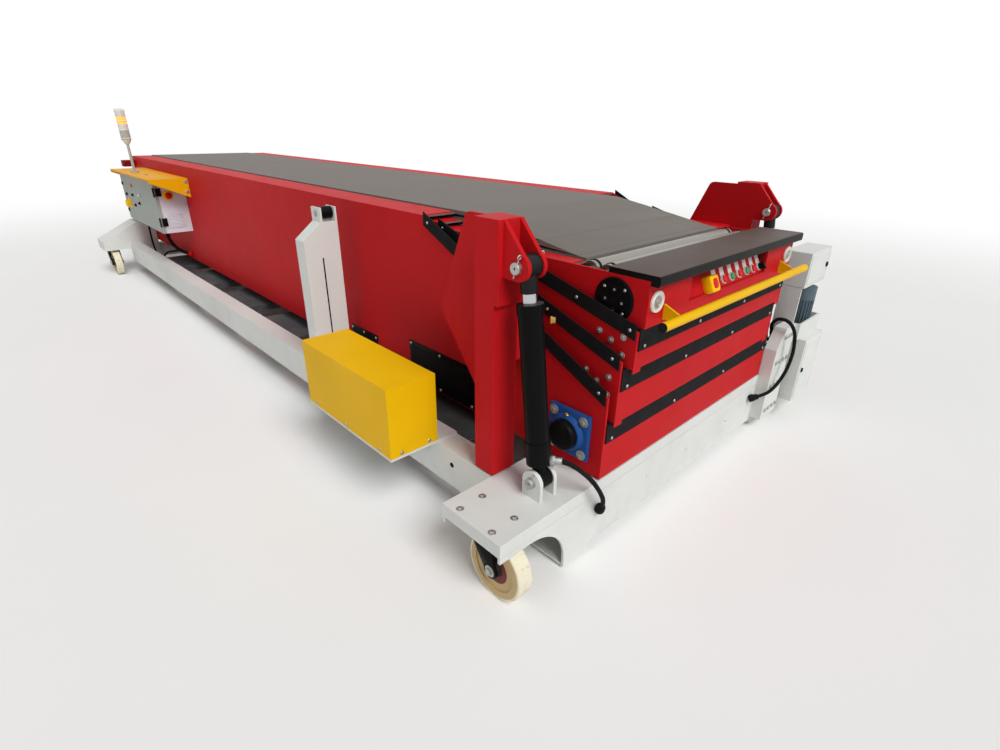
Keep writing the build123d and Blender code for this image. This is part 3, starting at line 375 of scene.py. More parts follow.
@dataclass(frozen=True)
class TwoTone(Finish):
    """Paint that changes past a limit along one direction, counted from a point."""

    tone: Tone
    beyond: Tone
    along: Point
    limit: float
    both_ways: bool = False
    origin: Point = (0.0, 0.0, 0.0)
    roughness: float = 0.4
    metallic: bool = False
    shine: float = 0.2

    def sockets(self, s: Shader) -> dict[str, object]:
        """Builds what feeds the shader's sockets.

        Args:
            s: the shader.
        Returns:
            A value or link for each socket, with _ for a space in its name.
        """
        x, y, z = s.axes()
        (x0, y0, z0), (run, across, rise) = self.origin, self.along
        far = (x - x0) * run + (y - y0) * across + (z - z0) * rise
        past = (abs(far) if self.both_ways else far) > self.limit
        shade = s.noise(6.0, detail=5.0)
        first = s.mix(shade, self.tone.rgba, shaded(self.tone.rgba, 0.82))
        second = s.mix(shade, self.beyond.rgba, shaded(self.beyond.rgba, 0.82, 0.004))
        gloss = self.roughness + shade * 0.12
        if self.metallic:
            gloss = gloss * past + (1 - past) * (0.12 + shade * 0.08)
        return dict(Base_Color=s.mix(past, first, second), Roughness=gloss,
                    Metallic=(1 - past) if self.metallic else 0.0,
                    Normal=s.bump(s.noise(500.0, detail=2.0), 0.00012), Specular_IOR_Level=self.shine)


@dataclass(frozen=True)
class Rubber(Finish):
    """Matt rubber or moulded plastic with fine grain."""

    tone: Tone
    roughness: float = 0.62
    grain: float = 0.0002
    shine: float = 0.25

    def sockets(self, s: Shader) -> dict[str, object]:
        """Builds what feeds the shader's sockets.

        Args:
            s: the shader.
        Returns:
            A value or link for each socket, with _ for a space in its name.
        """
        colour = self.tone.rgba
        base = s.mix(s.noise(18.0, detail=6.0).step(0.45, 0.85), colour, shaded(colour, 1.4, 0.003))
        return dict(Base_Color=base, Roughness=self.roughness + s.noise(40.0) * 0.15,
                    Normal=s.bump(s.noise(900.0, detail=2.0), self.grain), Specular_IOR_Level=self.shine)


@dataclass(frozen=True)
class BeltCloth(Finish):
    """Coated conveyor belt: a fine rough surface with faint streaks along its run."""

    tone: Tone

    def sockets(self, s: Shader) -> dict[str, object]:
        """Builds what feeds the shader's sockets.

        Args:
            s: the shader.
        Returns:
            A value or link for each socket, with _ for a space in its name.
        """
        colour = self.tone.rgba
        streaks = s.noise(30.0, (0.02, 1.0, 1.0), detail=4.0)
        blotch = s.noise(3.5, detail=5.0)
        grit = s.noise(420.0, detail=2.0)
        base = s.mix(streaks * 0.35 + blotch * 0.35 + grit * 0.3, shaded(colour, 0.78), shaded(colour, 1.14))
        return dict(Base_Color=base, Roughness=0.66 + blotch * 0.16, Normal=s.bump(grit, 0.0004))


@dataclass(frozen=True)
class Metal(Finish):
    """Bare or plated metal with fine lines along one axis."""

    tone: Tone
    roughness: float = 0.3
    lines: Point = (1.0, 0.03, 1.0)

    def sockets(self, s: Shader) -> dict[str, object]:
        """Builds what feeds the shader's sockets.

        Args:
            s: the shader.
        Returns:
            A value or link for each socket, with _ for a space in its name.
        """
        colour = self.tone.rgba
        brushed = s.noise(650.0, self.lines, detail=3.0)
        stain = s.noise(22.0, detail=5.0)
        base = s.mix(brushed * 0.4 + stain * 0.4, colour, shaded(colour, 0.72))
        return dict(Base_Color=base, Metallic=1.0, Roughness=self.roughness + brushed * 0.1 + stain * 0.1,
                    Normal=s.bump(brushed, 0.00006))


@dataclass(frozen=True)
class CasterWheel(Finish):
    """Cream tread, tan flanks and a red core, told apart by the distance from the axle."""

    centre: Point
    tread: float = 0.092
    core: float = 0.047
    hub: float = 0.028

    def sockets(self, s: Shader) -> dict[str, object]:
        """Builds what feeds the shader's sockets.

        Args:
            s: the shader.
        Returns:
            A value or link for each socket, with _ for a space in its name.
        """
        x, _, z = s.axes()
        away = ((x - self.centre[0]) ** 2.0 + (z - self.centre[2]) ** 2.0) ** 0.5
        scuff = s.noise(60.0, detail=6.0).step(0.5, 0.8)
        tread = s.mix(scuff, Tone.CREAM.rgba, srgb("bcae8d"))
        flank = s.mix(s.noise(35.0, detail=5.0), Tone.TAN.rgba, srgb("b79a66"))
        core = s.mix(s.noise(30.0, detail=4.0), Tone.CORE_RED.rgba, srgb("4d1416"))
        base = s.mix(away.step(self.tread - 0.0015, self.tread), flank, tread)
        base = s.mix(away.step(self.core, self.core + 0.0015), core, base)
        base = s.mix(away.step(self.hub - 0.001, self.hub), Tone.SOOT.rgba, base)
        return dict(Base_Color=base, Roughness=0.5 + s.noise(80.0) * 0.2, Normal=s.bump(s.noise(300.0), 0.0003))


@dataclass(frozen=True)
class SignalLamp(Finish):
    """Clear ribbed housing with a lit amber band between two heights, on a grey foot."""

    foot: float
    low: float
    high: float

    def sockets(self, s: Shader) -> dict[str, object]:
        """Builds what feeds the shader's sockets.

        Args:
            s: the shader.
        Returns:
            A value or link for each socket, with _ for a space in its name.
        """
        _, _, z = s.axes()
        band = z.step(self.low, self.low + 0.001) * (1 - z.step(self.high - 0.001, self.high))
        ribs = (z * 900.0).wave() * 0.5 + 0.5
        glow = s.mix(ribs * 0.4, Tone.AMBER.rgba, srgb("ffd27a"))
        housing = s.mix(ribs * 0.6, Tone.CLEAR.rgba, srgb("c9b9b0"))
        housing = s.mix(z.step(self.foot - 0.001, self.foot), srgb("a9a8a3"), housing)
        return dict(Base_Color=s.mix(band, housing, glow), Roughness=0.35,
                    Emission_Color=s.mix(band, BLACK_RGBA, glow), Emission_Strength=0.9)


@dataclass(frozen=True)
class LitLens(Finish):
    """Coloured lens with a lamp lit behind it."""

    tone: Tone

    def sockets(self, s: Shader) -> dict[str, object]:
        """Builds what feeds the shader's sockets.

        Args:
            s: the shader.
        Returns:
            A value or link for each socket, with _ for a space in its name.
        """
        facets = s.noise(240.0, detail=2.0)
        glow = s.mix(facets * 0.5, self.tone.rgba, srgb("ff7a55"))
        return dict(Base_Color=glow, Roughness=0.2 + facets * 0.1, Emission_Color=glow, Emission_Strength=0.5)


@dataclass(frozen=True)
class Floor(Finish):
    """Pale studio floor that fades into a white background."""

    name: str = "studio_floor"
    near: float = 3.2
    far: float = 8.5
    ahead: float = 0.3

    def sockets(self, s: Shader) -> dict[str, object]:
        """Builds what feeds the shader's sockets.

        Args:
            s: the shader.
        Returns:
            A value or link for each socket, with _ for a space in its name.
        """
        x, y, _ = s.axes()
        seen = s.node("ShaderNodeLightPath", {}, {}, "Is Camera Ray")
        ahead = (x + abs(x)) * (self.ahead / 2) + (x - abs(x)) * 0.5
        away = ((ahead * ahead + y * y) ** 0.5).step(self.near, self.far) * seen
        base = s.mix(s.noise(0.8, detail=3.0), Tone.FLOOR.rgba, srgb("efefee"))
        return dict(Base_Color=s.mix(away, base, BLACK_RGBA), Emission_Strength=1.0,
                    Emission_Color=s.mix(away, BLACK_RGBA, WHITE_RGBA), Roughness=0.75, Specular_IOR_Level=0.0)


class Finishes:
    """The finishes, each made once."""

    def __init__(self) -> None:
        """Starts with none made."""
        self.made: dict[str, Material] = {}

    def get(self, finish: Finish) -> Material:
        """Returns a finish's material, made on first use.

        Args:
            finish: what is wanted.
        Returns:
            Its material.
        """
        if finish.name not in self.made:
            self.made[finish.name] = finish.material()
        return self.made[finish.name]


WHITE_PAINT = Paint("white_paint", Tone.WHITE, 0.42, dust=0.18)
RED_PAINT = Paint("red_paint", Tone.RED, 0.44, dust=0.05, shine=0.06)
# Painted shade: a darker copy of the red paint, for red faces in shadow
SHADED_RED_PAINT = Paint("painted_shade_red_paint", Tone.SHADED_RED, 0.4, dust=0.06, shine=0.08)
YELLOW_PAINT = Paint("yellow_paint", Tone.YELLOW, 0.42, dust=0.04, shine=0.08)
SLATE_PAINT = Paint("slate_paint", Tone.SLATE, 0.5, dust=0.45)
BLACK_PAINT = Paint("black_paint", Tone.BLACK, 0.24, dust=0.03, shine=0.05)
MOTOR_PAINT = Paint("motor_paint", Tone.MOTOR, 0.42, dust=0.2)
HOOD_PAINT = Paint("hood_paint", Tone.AMBER_YELLOW, 0.42, dust=0.04, shine=0.08)
BLACK_RUBBER = Rubber("black_rubber", Tone.SOOT, shine=0.08)
BLACK_PLASTIC = Rubber("black_plastic", Tone.BLACK, 0.34, 0.0001, shine=0.07)
BELT = BeltCloth("belt_cloth", Tone.BELT)
ZINC = Metal("zinc", Tone.ZINC, 0.34)
ROLLER_STEEL = Metal("roller_steel", Tone.ROLLER, 0.26, (1.0, 0.02, 1.0))
LAVENDER_PAINT = Paint("lavender_paint", Tone.LAVENDER, 0.5, dust=0.08)
BRASS = Metal("brass", Tone.BRASS, 0.3)
RED_PLASTIC = Rubber("red_plastic", Tone.SIGNAL_RED, 0.28, 0.00004, shine=0.12)
GREEN_PLASTIC = Rubber("green_plastic", Tone.GREEN, 0.28, 0.00004)
YELLOW_PLASTIC = Rubber("yellow_plastic", Tone.YELLOW, 0.34, 0.00005, shine=0.1)
WHITE_PLASTIC = Rubber("white_plastic", Tone.LENS, 0.4, 0.00005)
PALE_PLASTIC = Rubber("pale_plastic", Tone.IVORY, 0.36, 0.00005)
LIT_RED = LitLens("lit_red", Tone.SIGNAL_RED)
BEARING_PAINT = Paint("bearing_paint", Tone.BLUE, 0.4, dust=0.06, peel=0.0003)
TABLE_FINISH = TwoTone("table_finish", Tone.BLACK, Tone.TABLE, (0.0, 0.0, 1.0), 0.8562, roughness=0.36, shine=0.1)
BUMPER_FINISH = TwoTone("bumper_finish", Tone.YELLOW, Tone.SOOT, (0.0, 1.0, 0.0), 0.4822, both_ways=True, shine=0.1)
BOX_FINISH = TwoTone("box_finish", Tone.GREY_GREEN, Tone.LAVENDER, (1.0, 0.0, 0.0), -1.1840, roughness=0.5)
DOOR_FINISH = TwoTone("door_finish", Tone.GREY_GREEN, Tone.SOOT, (0.0, -1.0, 0.0), 0.7376, roughness=0.5)
ROD_FINISH = TwoTone("rod_finish", Tone.CHROME, Tone.BLACK, (-0.125919, 0.0, 0.99204), 0.5215,
                     origin=(2.318, 0.0, 0.300), metallic=True)

SLOTS = {
    "zinc": "steel", "brass": "steel", "belt_cloth": "belt_rubber", "painted_shade_red_paint": "red_paint",
    "lavender_paint": "grey_paint", "yellow_plastic": "yellow_paint", "pale_plastic": "white_plastic",
    "red_plastic": "signal_plastic", "green_plastic": "signal_plastic", "lit_red": "signal_plastic",
}
NODE_FINISHES: dict[str, Finish] = {
    "front_beam": WHITE_PAINT, "right_rail": WHITE_PAINT, "left_rail": WHITE_PAINT, "rear_beam": WHITE_PAINT,
    "floor_pans": SLATE_PAINT, "right_guide_post": WHITE_PAINT, "left_guide_post": WHITE_PAINT,
    "guide_rollers": BLACK_PLASTIC, "drive_guard": YELLOW_PAINT, "unit_mount": WHITE_PAINT, "unit_motor": MOTOR_PAINT,
    "unit_boxes": WHITE_PAINT, "flange_bearings": BEARING_PAINT, "control_box": BOX_FINISH,
    "control_door": DOOR_FINISH, "control_hood": HOOD_PAINT, "head_table": TABLE_FINISH,
    # the control panel node takes the darker red, painted shade; it is hidden once the panel pieces are made
    "control_panel": SHADED_RED_PAINT, "head_bumper": BUMPER_FINISH, "head_lamps": PALE_PLASTIC,
    "head_covers": BLACK_PLASTIC, "rear_transfer_roller": ROLLER_STEEL, "front_transfer_roller": ROLLER_STEEL,
}


@dataclass
class PhotoCamera:
    """The photograph's viewpoint, for a frame of 1000 by 750."""

    place: Point = (3.13465, -1.66605, 1.196)
    right: Point = (0.6889737, 0.72466285, 0.013379)
    up: Point = (-0.31495161, 0.2827131, 0.90602361)
    back: Point = (0.65277924, -0.62844018, 0.42301562)
    focal_px: float = 538.81
    frame_px: float = 1000.0
    sensor: float = 36.0

    def build(self) -> None:
        """Adds the camera and makes it the scene's own."""
        data = bpy.data.cameras.new("photo_camera")
        data.sensor_fit = "HORIZONTAL"
        data.sensor_width = self.sensor
        data.lens = self.sensor * self.focal_px / self.frame_px
        data.clip_end = 100.0
        camera = stood("photo_camera", data)
        turn = Matrix((self.right, self.up, self.back)).transposed().to_4x4()
        camera.matrix_world = Matrix.Translation(self.place) @ turn
        bpy.context.scene.camera = camera


@dataclass
class Studio:
    """Plain pale floor, white surroundings and soft light."""

    floor_half: float = 30.0
    ambient: float = 0.33
    suns: tuple[tuple[str, Point, float, float], ...] = (
        ("key", (0.84, -0.16, 0.91), 2.4, 30.0),
        ("side", (-0.35, -0.9, 0.7), 0.14, 60.0),
    )

    def build(self, finishes: Finishes) -> None:
        """Adds the floor, the world and the lamps.

        Args:
            finishes: where the floor's material comes from.
        """
        bpy.ops.object.select_all(action="DESELECT")
        bpy.ops.mesh.primitive_plane_add(size=2 * self.floor_half, location=(0.0, 0.0, 0.0))
        floor = bpy.context.object
        floor.name = "studio_floor"
        floor.data.materials.append(finishes.get(Floor()))
        self._world()
        for name, source, strength, spread in self.suns:
            data = bpy.data.lights.new(f"{name}_sun", "SUN")
            data.energy = strength
            data.angle = radians(spread)
            sun = stood(f"{name}_sun", data)
            sun.matrix_world = Vector(source).to_track_quat("Z", "Y").to_matrix().to_4x4()

    def _world(self) -> None:
        """Makes an even light that looks white to the camera and in reflections."""
        world = bpy.data.worlds.new("studio_world")
        bpy.context.scene.world = world
        world.use_nodes = True
        tree = world.node_tree
        path = tree.nodes.new("ShaderNodeLightPath")
        seen = tree.nodes.new("ShaderNodeMath")
        seen.operation = "MAXIMUM"
        tree.links.new(path.outputs["Is Camera Ray"], seen.inputs[0])
        tree.links.new(path.outputs["Is Glossy Ray"], seen.inputs[1])
        shade = tree.nodes.new("ShaderNodeMix")
        shade.data_type = "FLOAT"
        shade.inputs[2].default_value = self.ambient
        shade.inputs[3].default_value = 1.0
        tree.links.new(seen.outputs[0], shade.inputs[0])
        background = tree.nodes["Background"]
        background.inputs["Color"].default_value = WHITE_RGBA
        tree.links.new(shade.outputs[0], background.inputs["Strength"])
        bpy.context.scene.view_settings.view_transform = "Standard"


@dataclass(frozen=True)
class CordRoute:
    """One hose or cable: where it runs, in millimetres, and what it rides on."""

    node: str
    body: str
    diameter: float
    points: tuple[Point, ...]
    lay: str = "hanging"
    stiffness: str = "medium"
    strands: int = 1


CORDS = (
    CordRoute("right_lift_hose", "chassis", 14.0, (
        (2340.9, -702.2, 361.4), (2369, -685.6, 365), (2400, -660, 346), (2428, -628, 306), (2442, -600, 258),
        (2442, -574, 208), (2420, -554, 168))),
    CordRoute("left_lift_hose", "chassis", 14.0, (
        (2340.9, 702.2, 361.4), (2365, 688, 364.5), (2380, 662, 388), (2386, 632, 424), (2386, 607, 460),
        (2412, 596, 494), (2455, 592, 494), (2482, 600, 460), (2487, 620, 408), (2488, 632, 350), (2485, 624, 290),
        (2478, 600, 242), (2468, 566, 206), (2454, 532, 184), (2422, 512, 166))),
    CordRoute("control_bundle", "boom", 26.0, (
        (-1500, -650, 476.7), (-1500, -650, 422), (-1480, -642, 368), (-1438, -624, 326), (-1388, -600, 302),
        (-1336, -566, 292)), strands=5),
    CordRoute("control_loop", "boom", 14.0, (
        (-2070, -640, 476.7), (-2070, -640, 420), (-2068, -642, 350), (-2060, -644, 280), (-2036, -644, 214),
        (-1988, -642, 166), (-1924, -640, 152), (-1860, -636, 176), (-1800, -632, 218), (-1730, -624, 246),
        (-1660, -604, 262), (-1610, -564, 272))),
)


@dataclass
class Cords:
    """The hoses and cables, each a smooth curve along its route."""

    routes: tuple[CordRoute, ...] = CORDS
    strand_share: float = 0.185
    twist: float = 1.4

    def build(self, finishes: Finishes) -> None:
        """Adds each cord.

        Args:
            finishes: where the rubber comes from.
        """
        for route in self.routes:
            data = self._curve(f"{route.node}_line", route.diameter / 2000, 4)
            spline = data.splines.new("NURBS")
            spline.points.add(len(route.points) - 1)
            for point, (x, y, z) in zip(spline.points, route.points):
                point.co = (x / 1000, y / 1000, z / 1000, 1.0)
            spline.order_u = 3
            spline.use_endpoint_u = True
            spline.resolution_u = 12
            cord = stood(f"{route.node}_cord", data)
            if route.strands > 1:
                cord, path = self._bundle(route, cord)
            cord.data.materials.append(finishes.get(BLACK_RUBBER))
            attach(cord, route.body)
            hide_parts(route.node)
            LOG.info("cord %s", route.node)

    def _curve(self, name: str, radius: float, rounding: int) -> Curve:
        """Starts a round line.

        Args:
            name: the curve's name.
            radius: from its middle to its surface.
            rounding: how finely its section is rounded.
        Returns:
            The curve, without points.
        """
        data = bpy.data.curves.new(name, "CURVE")
        data.dimensions = "3D"
        data.bevel_depth = radius
        data.bevel_resolution = rounding
        data.use_fill_caps = True
        return data

    def _bundle(self, route: CordRoute, line: Object) -> tuple[Object, list[Vector]]:
        """Makes a bundle of cables that follow one line side by side.

        Args:
            route: the bundle's route.
            line: its curve, which is removed.
        Returns:
            The bundle, and the points that it follows.
        """
        line.data.bevel_depth = 0.0
        mesh = bpy.data.meshes.new_from_object(line)
        path = [vertex.co.copy() for vertex in mesh.vertices]
        bpy.data.meshes.remove(mesh)
        bpy.data.curves.remove(line.data)
        wire = route.diameter / 1000 * self.strand_share
        data = self._curve(f"{route.node}_strands", wire, 3)
        ways = [(path[min(i + 1, len(path) - 1)] - path[max(i - 1, 0)]).normalized() for i in range(len(path))]
        for k in range(route.strands):
            spline = data.splines.new("POLY")
            spline.points.add(len(path) - 1)
            across = ways[0].orthogonal().normalized()
            for i, (point, way) in enumerate(zip(path, ways)):
                across = (across - way * across.dot(way)).normalized()
                turn = Matrix.Rotation(2 * pi * k / route.strands + self.twist * i / len(path), 3, way)
                spline.points[i].co = (*(point + turn @ across * (route.diameter / 2000 - wire)), 1.0)
        tubes = stood(f"{route.node}_tubes", data)
        bundle = stood(f"{route.node}_cord", bpy.data.meshes.new_from_object(tubes))
        bpy.data.curves.remove(data)
        bundle.data.shade_smooth()
        return bundle, path


@dataclass
class Coats:
    """Finishes of the CAD nodes."""

    nodes: dict[str, Object]

    def build(self, finishes: Finishes) -> None:
        """Puts each node's finish on it.

        Args:
            finishes: where the materials come from.
        """
        for name in sorted(self.nodes):
            self._coat(name, finishes.get(self.finish_of(name)))
            LOG.info("coated %s", name)

    def finish_of(self, name: str) -> Finish:
        """Chooses the finish of a node.

        Args:
            name: the node.
        Returns:
            Its finish.
        """
        if name in NODE_FINISHES:
            return NODE_FINISHES[name]
        if name.endswith("_belt"):
            return BELT
        if name.endswith("_wheel"):
            low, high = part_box(name)
            return CasterWheel(f"{name}_finish", tuple((low + high) / 2))
        if name == "signal_light":
            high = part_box(name)[1].z
            return SignalLamp("signal_finish", high - 0.128, high - 0.090, high - 0.044)
        if name.endswith("_rod"):
            return ROD_FINISH
        if name.endswith(("_fork", "_barrel")):
            return BLACK_PAINT
        if name.endswith(("_wipers", "_hose", "_bundle", "_loop")):
            return BLACK_RUBBER
        return RED_PAINT

    def _coat(self, name: str, material: Material) -> None:
        """Puts one material all over a node.

        Args:
            name: the node.
            material: its material.
        """
        mesh = self.nodes[name].data
        mesh.materials.clear()
        mesh.materials.append(material)


class Profile(Enum):
    """Turned shapes: the sides, then the radius and height of each ring in millimetres."""

    HUB = (40, (60, -2), (58, 6), (52, 12), (50, 14))
    CAP = (40, (46, 10), (47, 16), (47, 34), (43, 39), (30, 40.5), (12, 41))
    NIPPLE = (12, (5, -1), (5, 6), (3, 8), (3.6, 12), (2, 14))
    PIN = (28, (15.6, -11.8), (15.6, -1), (14, 1), (4, 1), (3, 0))
    WIRE = (10, (1.8, -27), (1.8, 24), (1.2, 25))
    PORT_PLUG = (6, (10.5, -1), (10.5, 4), (8.5, 5), (8.5, 11), (7, 12))
    NUT = (6, (12.5, -4), (13.5, -2), (13.5, 9), (12.5, 11))
    SLEEVE = (24, (10, 10), (10, 24), (9.4, 26), (10, 28), (9.4, 30), (7.2, 31))
    GROMMET = (24, (7.4, -14), (11.2, -10), (12.2, 2), (15, 6), (16, 20), (16, 26))
    RAIL_PLUG = (16, (9, -1), (9, 1), (6, 2))
    LATCH = (16, (11, 0), (11, 3), (9, 5), (4, 5), (4, 3))
    FORK_EYE = (32, (24, 0), (24, 9), (22.8, 10.2))
    RACE = (40, (50, 0), (52.5, 2), (52.5, 7), (50, 9))
    STOP_DISC = (32, (32, -0.5), (32, 2), (30, 3), (16, 3), (15, 12))
    STOP_CAP = (32, (13, 10), (19, 12), (21, 18), (20, 23), (15, 26), (8, 27))
    BEZEL = (28, (13, -0.5), (13, 2), (11.5, 3.5), (10, 3.5), (9.5, 2))
    LAMP = (24, (9.6, 1), (9.6, 7), (7.6, 10), (4, 11.5))
    KNOB_BODY = (24, (9, 1), (9, 6), (8.2, 7.5))
    ISOLATOR_DRUM = (28, (24, 0), (24, 12), (20, 14))
    LOCK = (20, (14, -0.5), (14, 4), (12, 6), (6, 6), (5.5, 2))
    COLLAR = (36, (30, 0), (32.5, 1), (32.5, 6), (30, 7))
    SIGNAL_CAP = (36, (31, -12), (31, 1), (27, 5), (18, 8), (8, 9))
    SIGNAL_BOOT = (36, (12, -30), (20, -20), (28, -4), (30, 4))
    RING = (40, (25, 0), (27.2, 1), (27.2, 7), (25, 8))
    RIM = (40, (29.5, -0.5), (29.5, 4), (28, 6.2), (25.8, 6.2), (24.5, 3.5), (21.5, 3.5), (20.5, 5.2),
           (18.5, 5.2), (17.5, 3.5))
    DOME = (36, (16.5, 3), (16, 6), (12.5, 6), (11.5, 4.8), (9, 4.8), (8, 7.5), (4, 8.5))
    PANEL_STOP = (36, (13, 12), (18, 17), (19, 24), (17.5, 29), (13, 31.5), (6, 32.5))
    BUTTON_RIM = (28, (15, -0.5), (15, 4), (14, 5.5), (12.2, 5.5), (11.8, 3))
    BUTTON_HEAD = (28, (11.4, 1), (11.4, 8.5), (10.2, 10), (6, 9.6))
    SELECTOR_DRUM = (28, (11.4, 1), (11.4, 10), (10.2, 12))
    COVER = (48, (61.8, -1.5), (61.8, 0.5), (60, 1.5), (54, 1.5), (53, 0.4))
    # a black ring round a cover stud: painted shade of a recessed hole
    SHADED_RECESS = (24, (10, -0.5), (10, 3), (9, 4), (6.6, 4), (6, 0.6))

    @property
    def sides(self) -> int:
        """How many sides the shape has."""
        return self.value[0]

    @property
    def rings(self) -> list[tuple[float, float]]:
        """The rings in metres."""
        return [(radius / 1000, height / 1000) for radius, height in self.value[1:]]


class Bench:
    """Models pieces with edit-mode tools and hands them over dressed."""

    sunk = -0.0005
    screw_rings = ((1.0, 0.25), (0.82, 0.5), (0.45, 0.6), (0.4, 0.3))
    washer_rings = ((1.7, 0.18), (1.6, 0.25))
    head_rings = ((1.0, 0.2), (1.0, 0.8), (0.86, 0.92))

    def __init__(self, finishes: Finishes) -> None:
        """Keeps the finishes."""
        self.finishes = finishes

    def _only(self, *pieces: Object) -> None:
        """Selects these pieces and nothing else.

        Args:
            pieces: the pieces, with the active one first.
        """
        bpy.ops.object.select_all(action="DESELECT")
        for piece in pieces:
            piece.select_set(True)
        bpy.context.view_layer.objects.active = pieces[0]

    def _open(self, name: str, scale: Sequence[float] = (1.0, 1.0, 1.0)) -> Object:
        """Opens the primitive that was just added in edit mode, with all of it selected.

        Args:
            name: its new name.
            scale: its size along each axis.
        Returns:
            The primitive, with its placement in its mesh.
        """
        piece = bpy.context.object
        piece.name = name
        piece.scale = scale
        bpy.ops.object.transform_apply(location=True, rotation=True, scale=True)
        bpy.ops.object.mode_set(mode="EDIT")
        bpy.ops.mesh.select_all(action="SELECT")
        return piece

    def block(self, name: str, corner: Sequence[float], opposite: Sequence[float],
              soften: float = 0.001) -> Object:
        """Models a block with softened edges.

        Args:
            name: the piece's name.
            corner: one of its corners.
            opposite: the corner across from it.
            soften: width of the bevel along its edges.
        Returns:
            The block.
        """
        spans = [sorted(ends) for ends in zip(corner, opposite)]
        bpy.ops.object.select_all(action="DESELECT")
        bpy.ops.mesh.primitive_cube_add(size=1.0, location=[(low + high) / 2 for low, high in spans])
        piece = self._open(name, [high - low for low, high in spans])
        bpy.ops.mesh.bevel(offset=soften, segments=2, affect="EDGES")
        bpy.ops.object.mode_set(mode="OBJECT")
        return piece

    def turned(self, name: str, rings: Sequence[tuple[float, float]], sides: int) -> Object:
        """Models a shape round +Z by extruding a disc from ring to ring.

        Args:
            name: the piece's name.
            rings: radius and height of each ring, from the foot to the end.
            sides: sides of the disc, 6 for a hexagon.
        Returns:
            The closed shape.
        """
        radius, foot = rings[0]
        bpy.ops.object.select_all(action="DESELECT")
        bpy.ops.mesh.primitive_circle_add(vertices=sides, radius=radius, fill_type="NGON", location=(0.0, 0.0, foot))
        piece = self._open(name)
        for (wide, low), (narrow, high) in zip(rings, rings[1:]):
            bpy.ops.mesh.extrude_region_move(TRANSFORM_OT_translate={"value": (0.0, 0.0, high - low)})
            bpy.ops.transform.resize(value=(narrow / wide, narrow / wide, 1.0), center_override=(0.0, 0.0, high))
        bpy.ops.mesh.select_all(action="DESELECT")
        bpy.ops.mesh.select_non_manifold()
        bpy.ops.mesh.edge_face_add()
        self._close()
        return piece

    def _close(self) -> None:
        """Turns all faces of the open piece outwards and leaves edit mode."""
        bpy.ops.mesh.select_all(action="SELECT")
        bpy.ops.mesh.normals_make_consistent(inside=False)
        bpy.ops.object.mode_set(mode="OBJECT")

    def shaped(self, name: str, profile: Profile) -> Object:
        """Turns one of the listed profiles."""
        return self.turned(name, profile.rings, profile.sides)

    def loop(self, name: str, radius: float, wire: float, angle: float) -> Object:
        """Models a wire ring round +Z by spinning a small circle.

        Args:
            name: the piece's name.
            radius: from the middle to the wire's centre.
            wire: the wire's radius.
            angle: degrees that the wire runs round.
        Returns:
            The ring.
        """
        bpy.ops.object.select_all(action="DESELECT")
        bpy.ops.mesh.primitive_circle_add(vertices=10, radius=wire, fill_type="NGON", location=(radius, 0.0, 0.0),
                                          rotation=(pi / 2, 0.0, 0.0))
        piece = self._open(name)
        bpy.ops.mesh.spin(steps=32, angle=radians(angle), center=(0.0, 0.0, 0.0), axis=(0.0, 0.0, 1.0))
        bpy.ops.mesh.select_all(action="SELECT")
        bpy.ops.mesh.remove_doubles(threshold=0.00001)
        self._close()
        return piece

    def recess(self, piece: Object, normal: Point, rim: float, depth: float) -> Object:
        """Insets the widest face that looks one way and moves it.

        Args:
            piece: the piece.
            normal: the way the face looks.
            rim: width of the rim that stays.
            depth: how far the face goes in, or out where it is negative.
        Returns:
            The piece.
        """
        self._only(piece)
        way = Vector(normal)
        faces = [face for face in piece.data.polygons if face.normal.dot(way) > 0.999]
        widest = max(faces, key=lambda face: face.area).index
        bpy.ops.object.mode_set(mode="EDIT")
        bpy.ops.mesh.select_mode(type="FACE")
        bpy.ops.mesh.select_all(action="DESELECT")
        bpy.ops.object.mode_set(mode="OBJECT")
        piece.data.polygons[widest].select = True
        bpy.ops.object.mode_set(mode="EDIT")
        bpy.ops.mesh.inset(thickness=rim, depth=0.0)
        bpy.ops.mesh.extrude_region_move(TRANSFORM_OT_translate={"value": tuple(way * -depth)})
        bpy.ops.mesh.select_mode(type="VERT")
        bpy.ops.object.mode_set(mode="OBJECT")
        return piece

    def nudge(self, piece: Object, wanted: Callable[[Vector], bool], move: Point,
              narrow: float = 1.0) -> Object:
        """Moves the points that pass a test, and draws them together along X.

        Args:
            piece: the piece.
            wanted: the test.
            move: how far they go.
            narrow: share of their width along X that is left.
        Returns:
            The piece.
        """
        self._only(piece)
        bpy.ops.object.mode_set(mode="EDIT")
        bpy.ops.mesh.select_all(action="DESELECT")
        bpy.ops.object.mode_set(mode="OBJECT")
        chosen = [vertex for vertex in piece.data.vertices if wanted(vertex.co)]
        for vertex in chosen:
            vertex.select = True
        middle = sum((vertex.co.copy() for vertex in chosen), Vector()) / len(chosen)
        bpy.ops.object.mode_set(mode="EDIT")
        bpy.ops.transform.resize(value=(narrow, 1.0, 1.0), center_override=tuple(middle))
        bpy.ops.transform.translate(value=move)
        bpy.ops.object.mode_set(mode="OBJECT")
        return piece

    def fuse(self, name: str, pieces: Sequence[Object]) -> Object:
        """Joins pieces into one.

        Args:
            name: the joined piece's name.
            pieces: what is joined.
        Returns:
            The joined piece.
        """
        self._only(*pieces)
        if len(pieces) > 1:
            bpy.ops.object.join()
        bpy.context.object.name = name
        return bpy.context.object

    def spread(self, name: str, master: Object, places: Sequence[Matrix]) -> Object:
        """Copies a shape to each place and joins the copies.

        Args:
            name: the joined piece's name.
            master: the shape, modelled round +Z, which is used up.
            places: where each copy goes.
        Returns:
            The joined piece, with its places in its mesh.
        """
        copies = []
        for place in places:
            copy = stood(master.name, master.data.copy())
            copy.matrix_world = place
            copies.append(copy)
        bpy.data.meshes.remove(master.data)
        self._only(*copies)
        bpy.ops.object.transform_apply(location=True, rotation=True, scale=True)
        return self.fuse(name, copies)

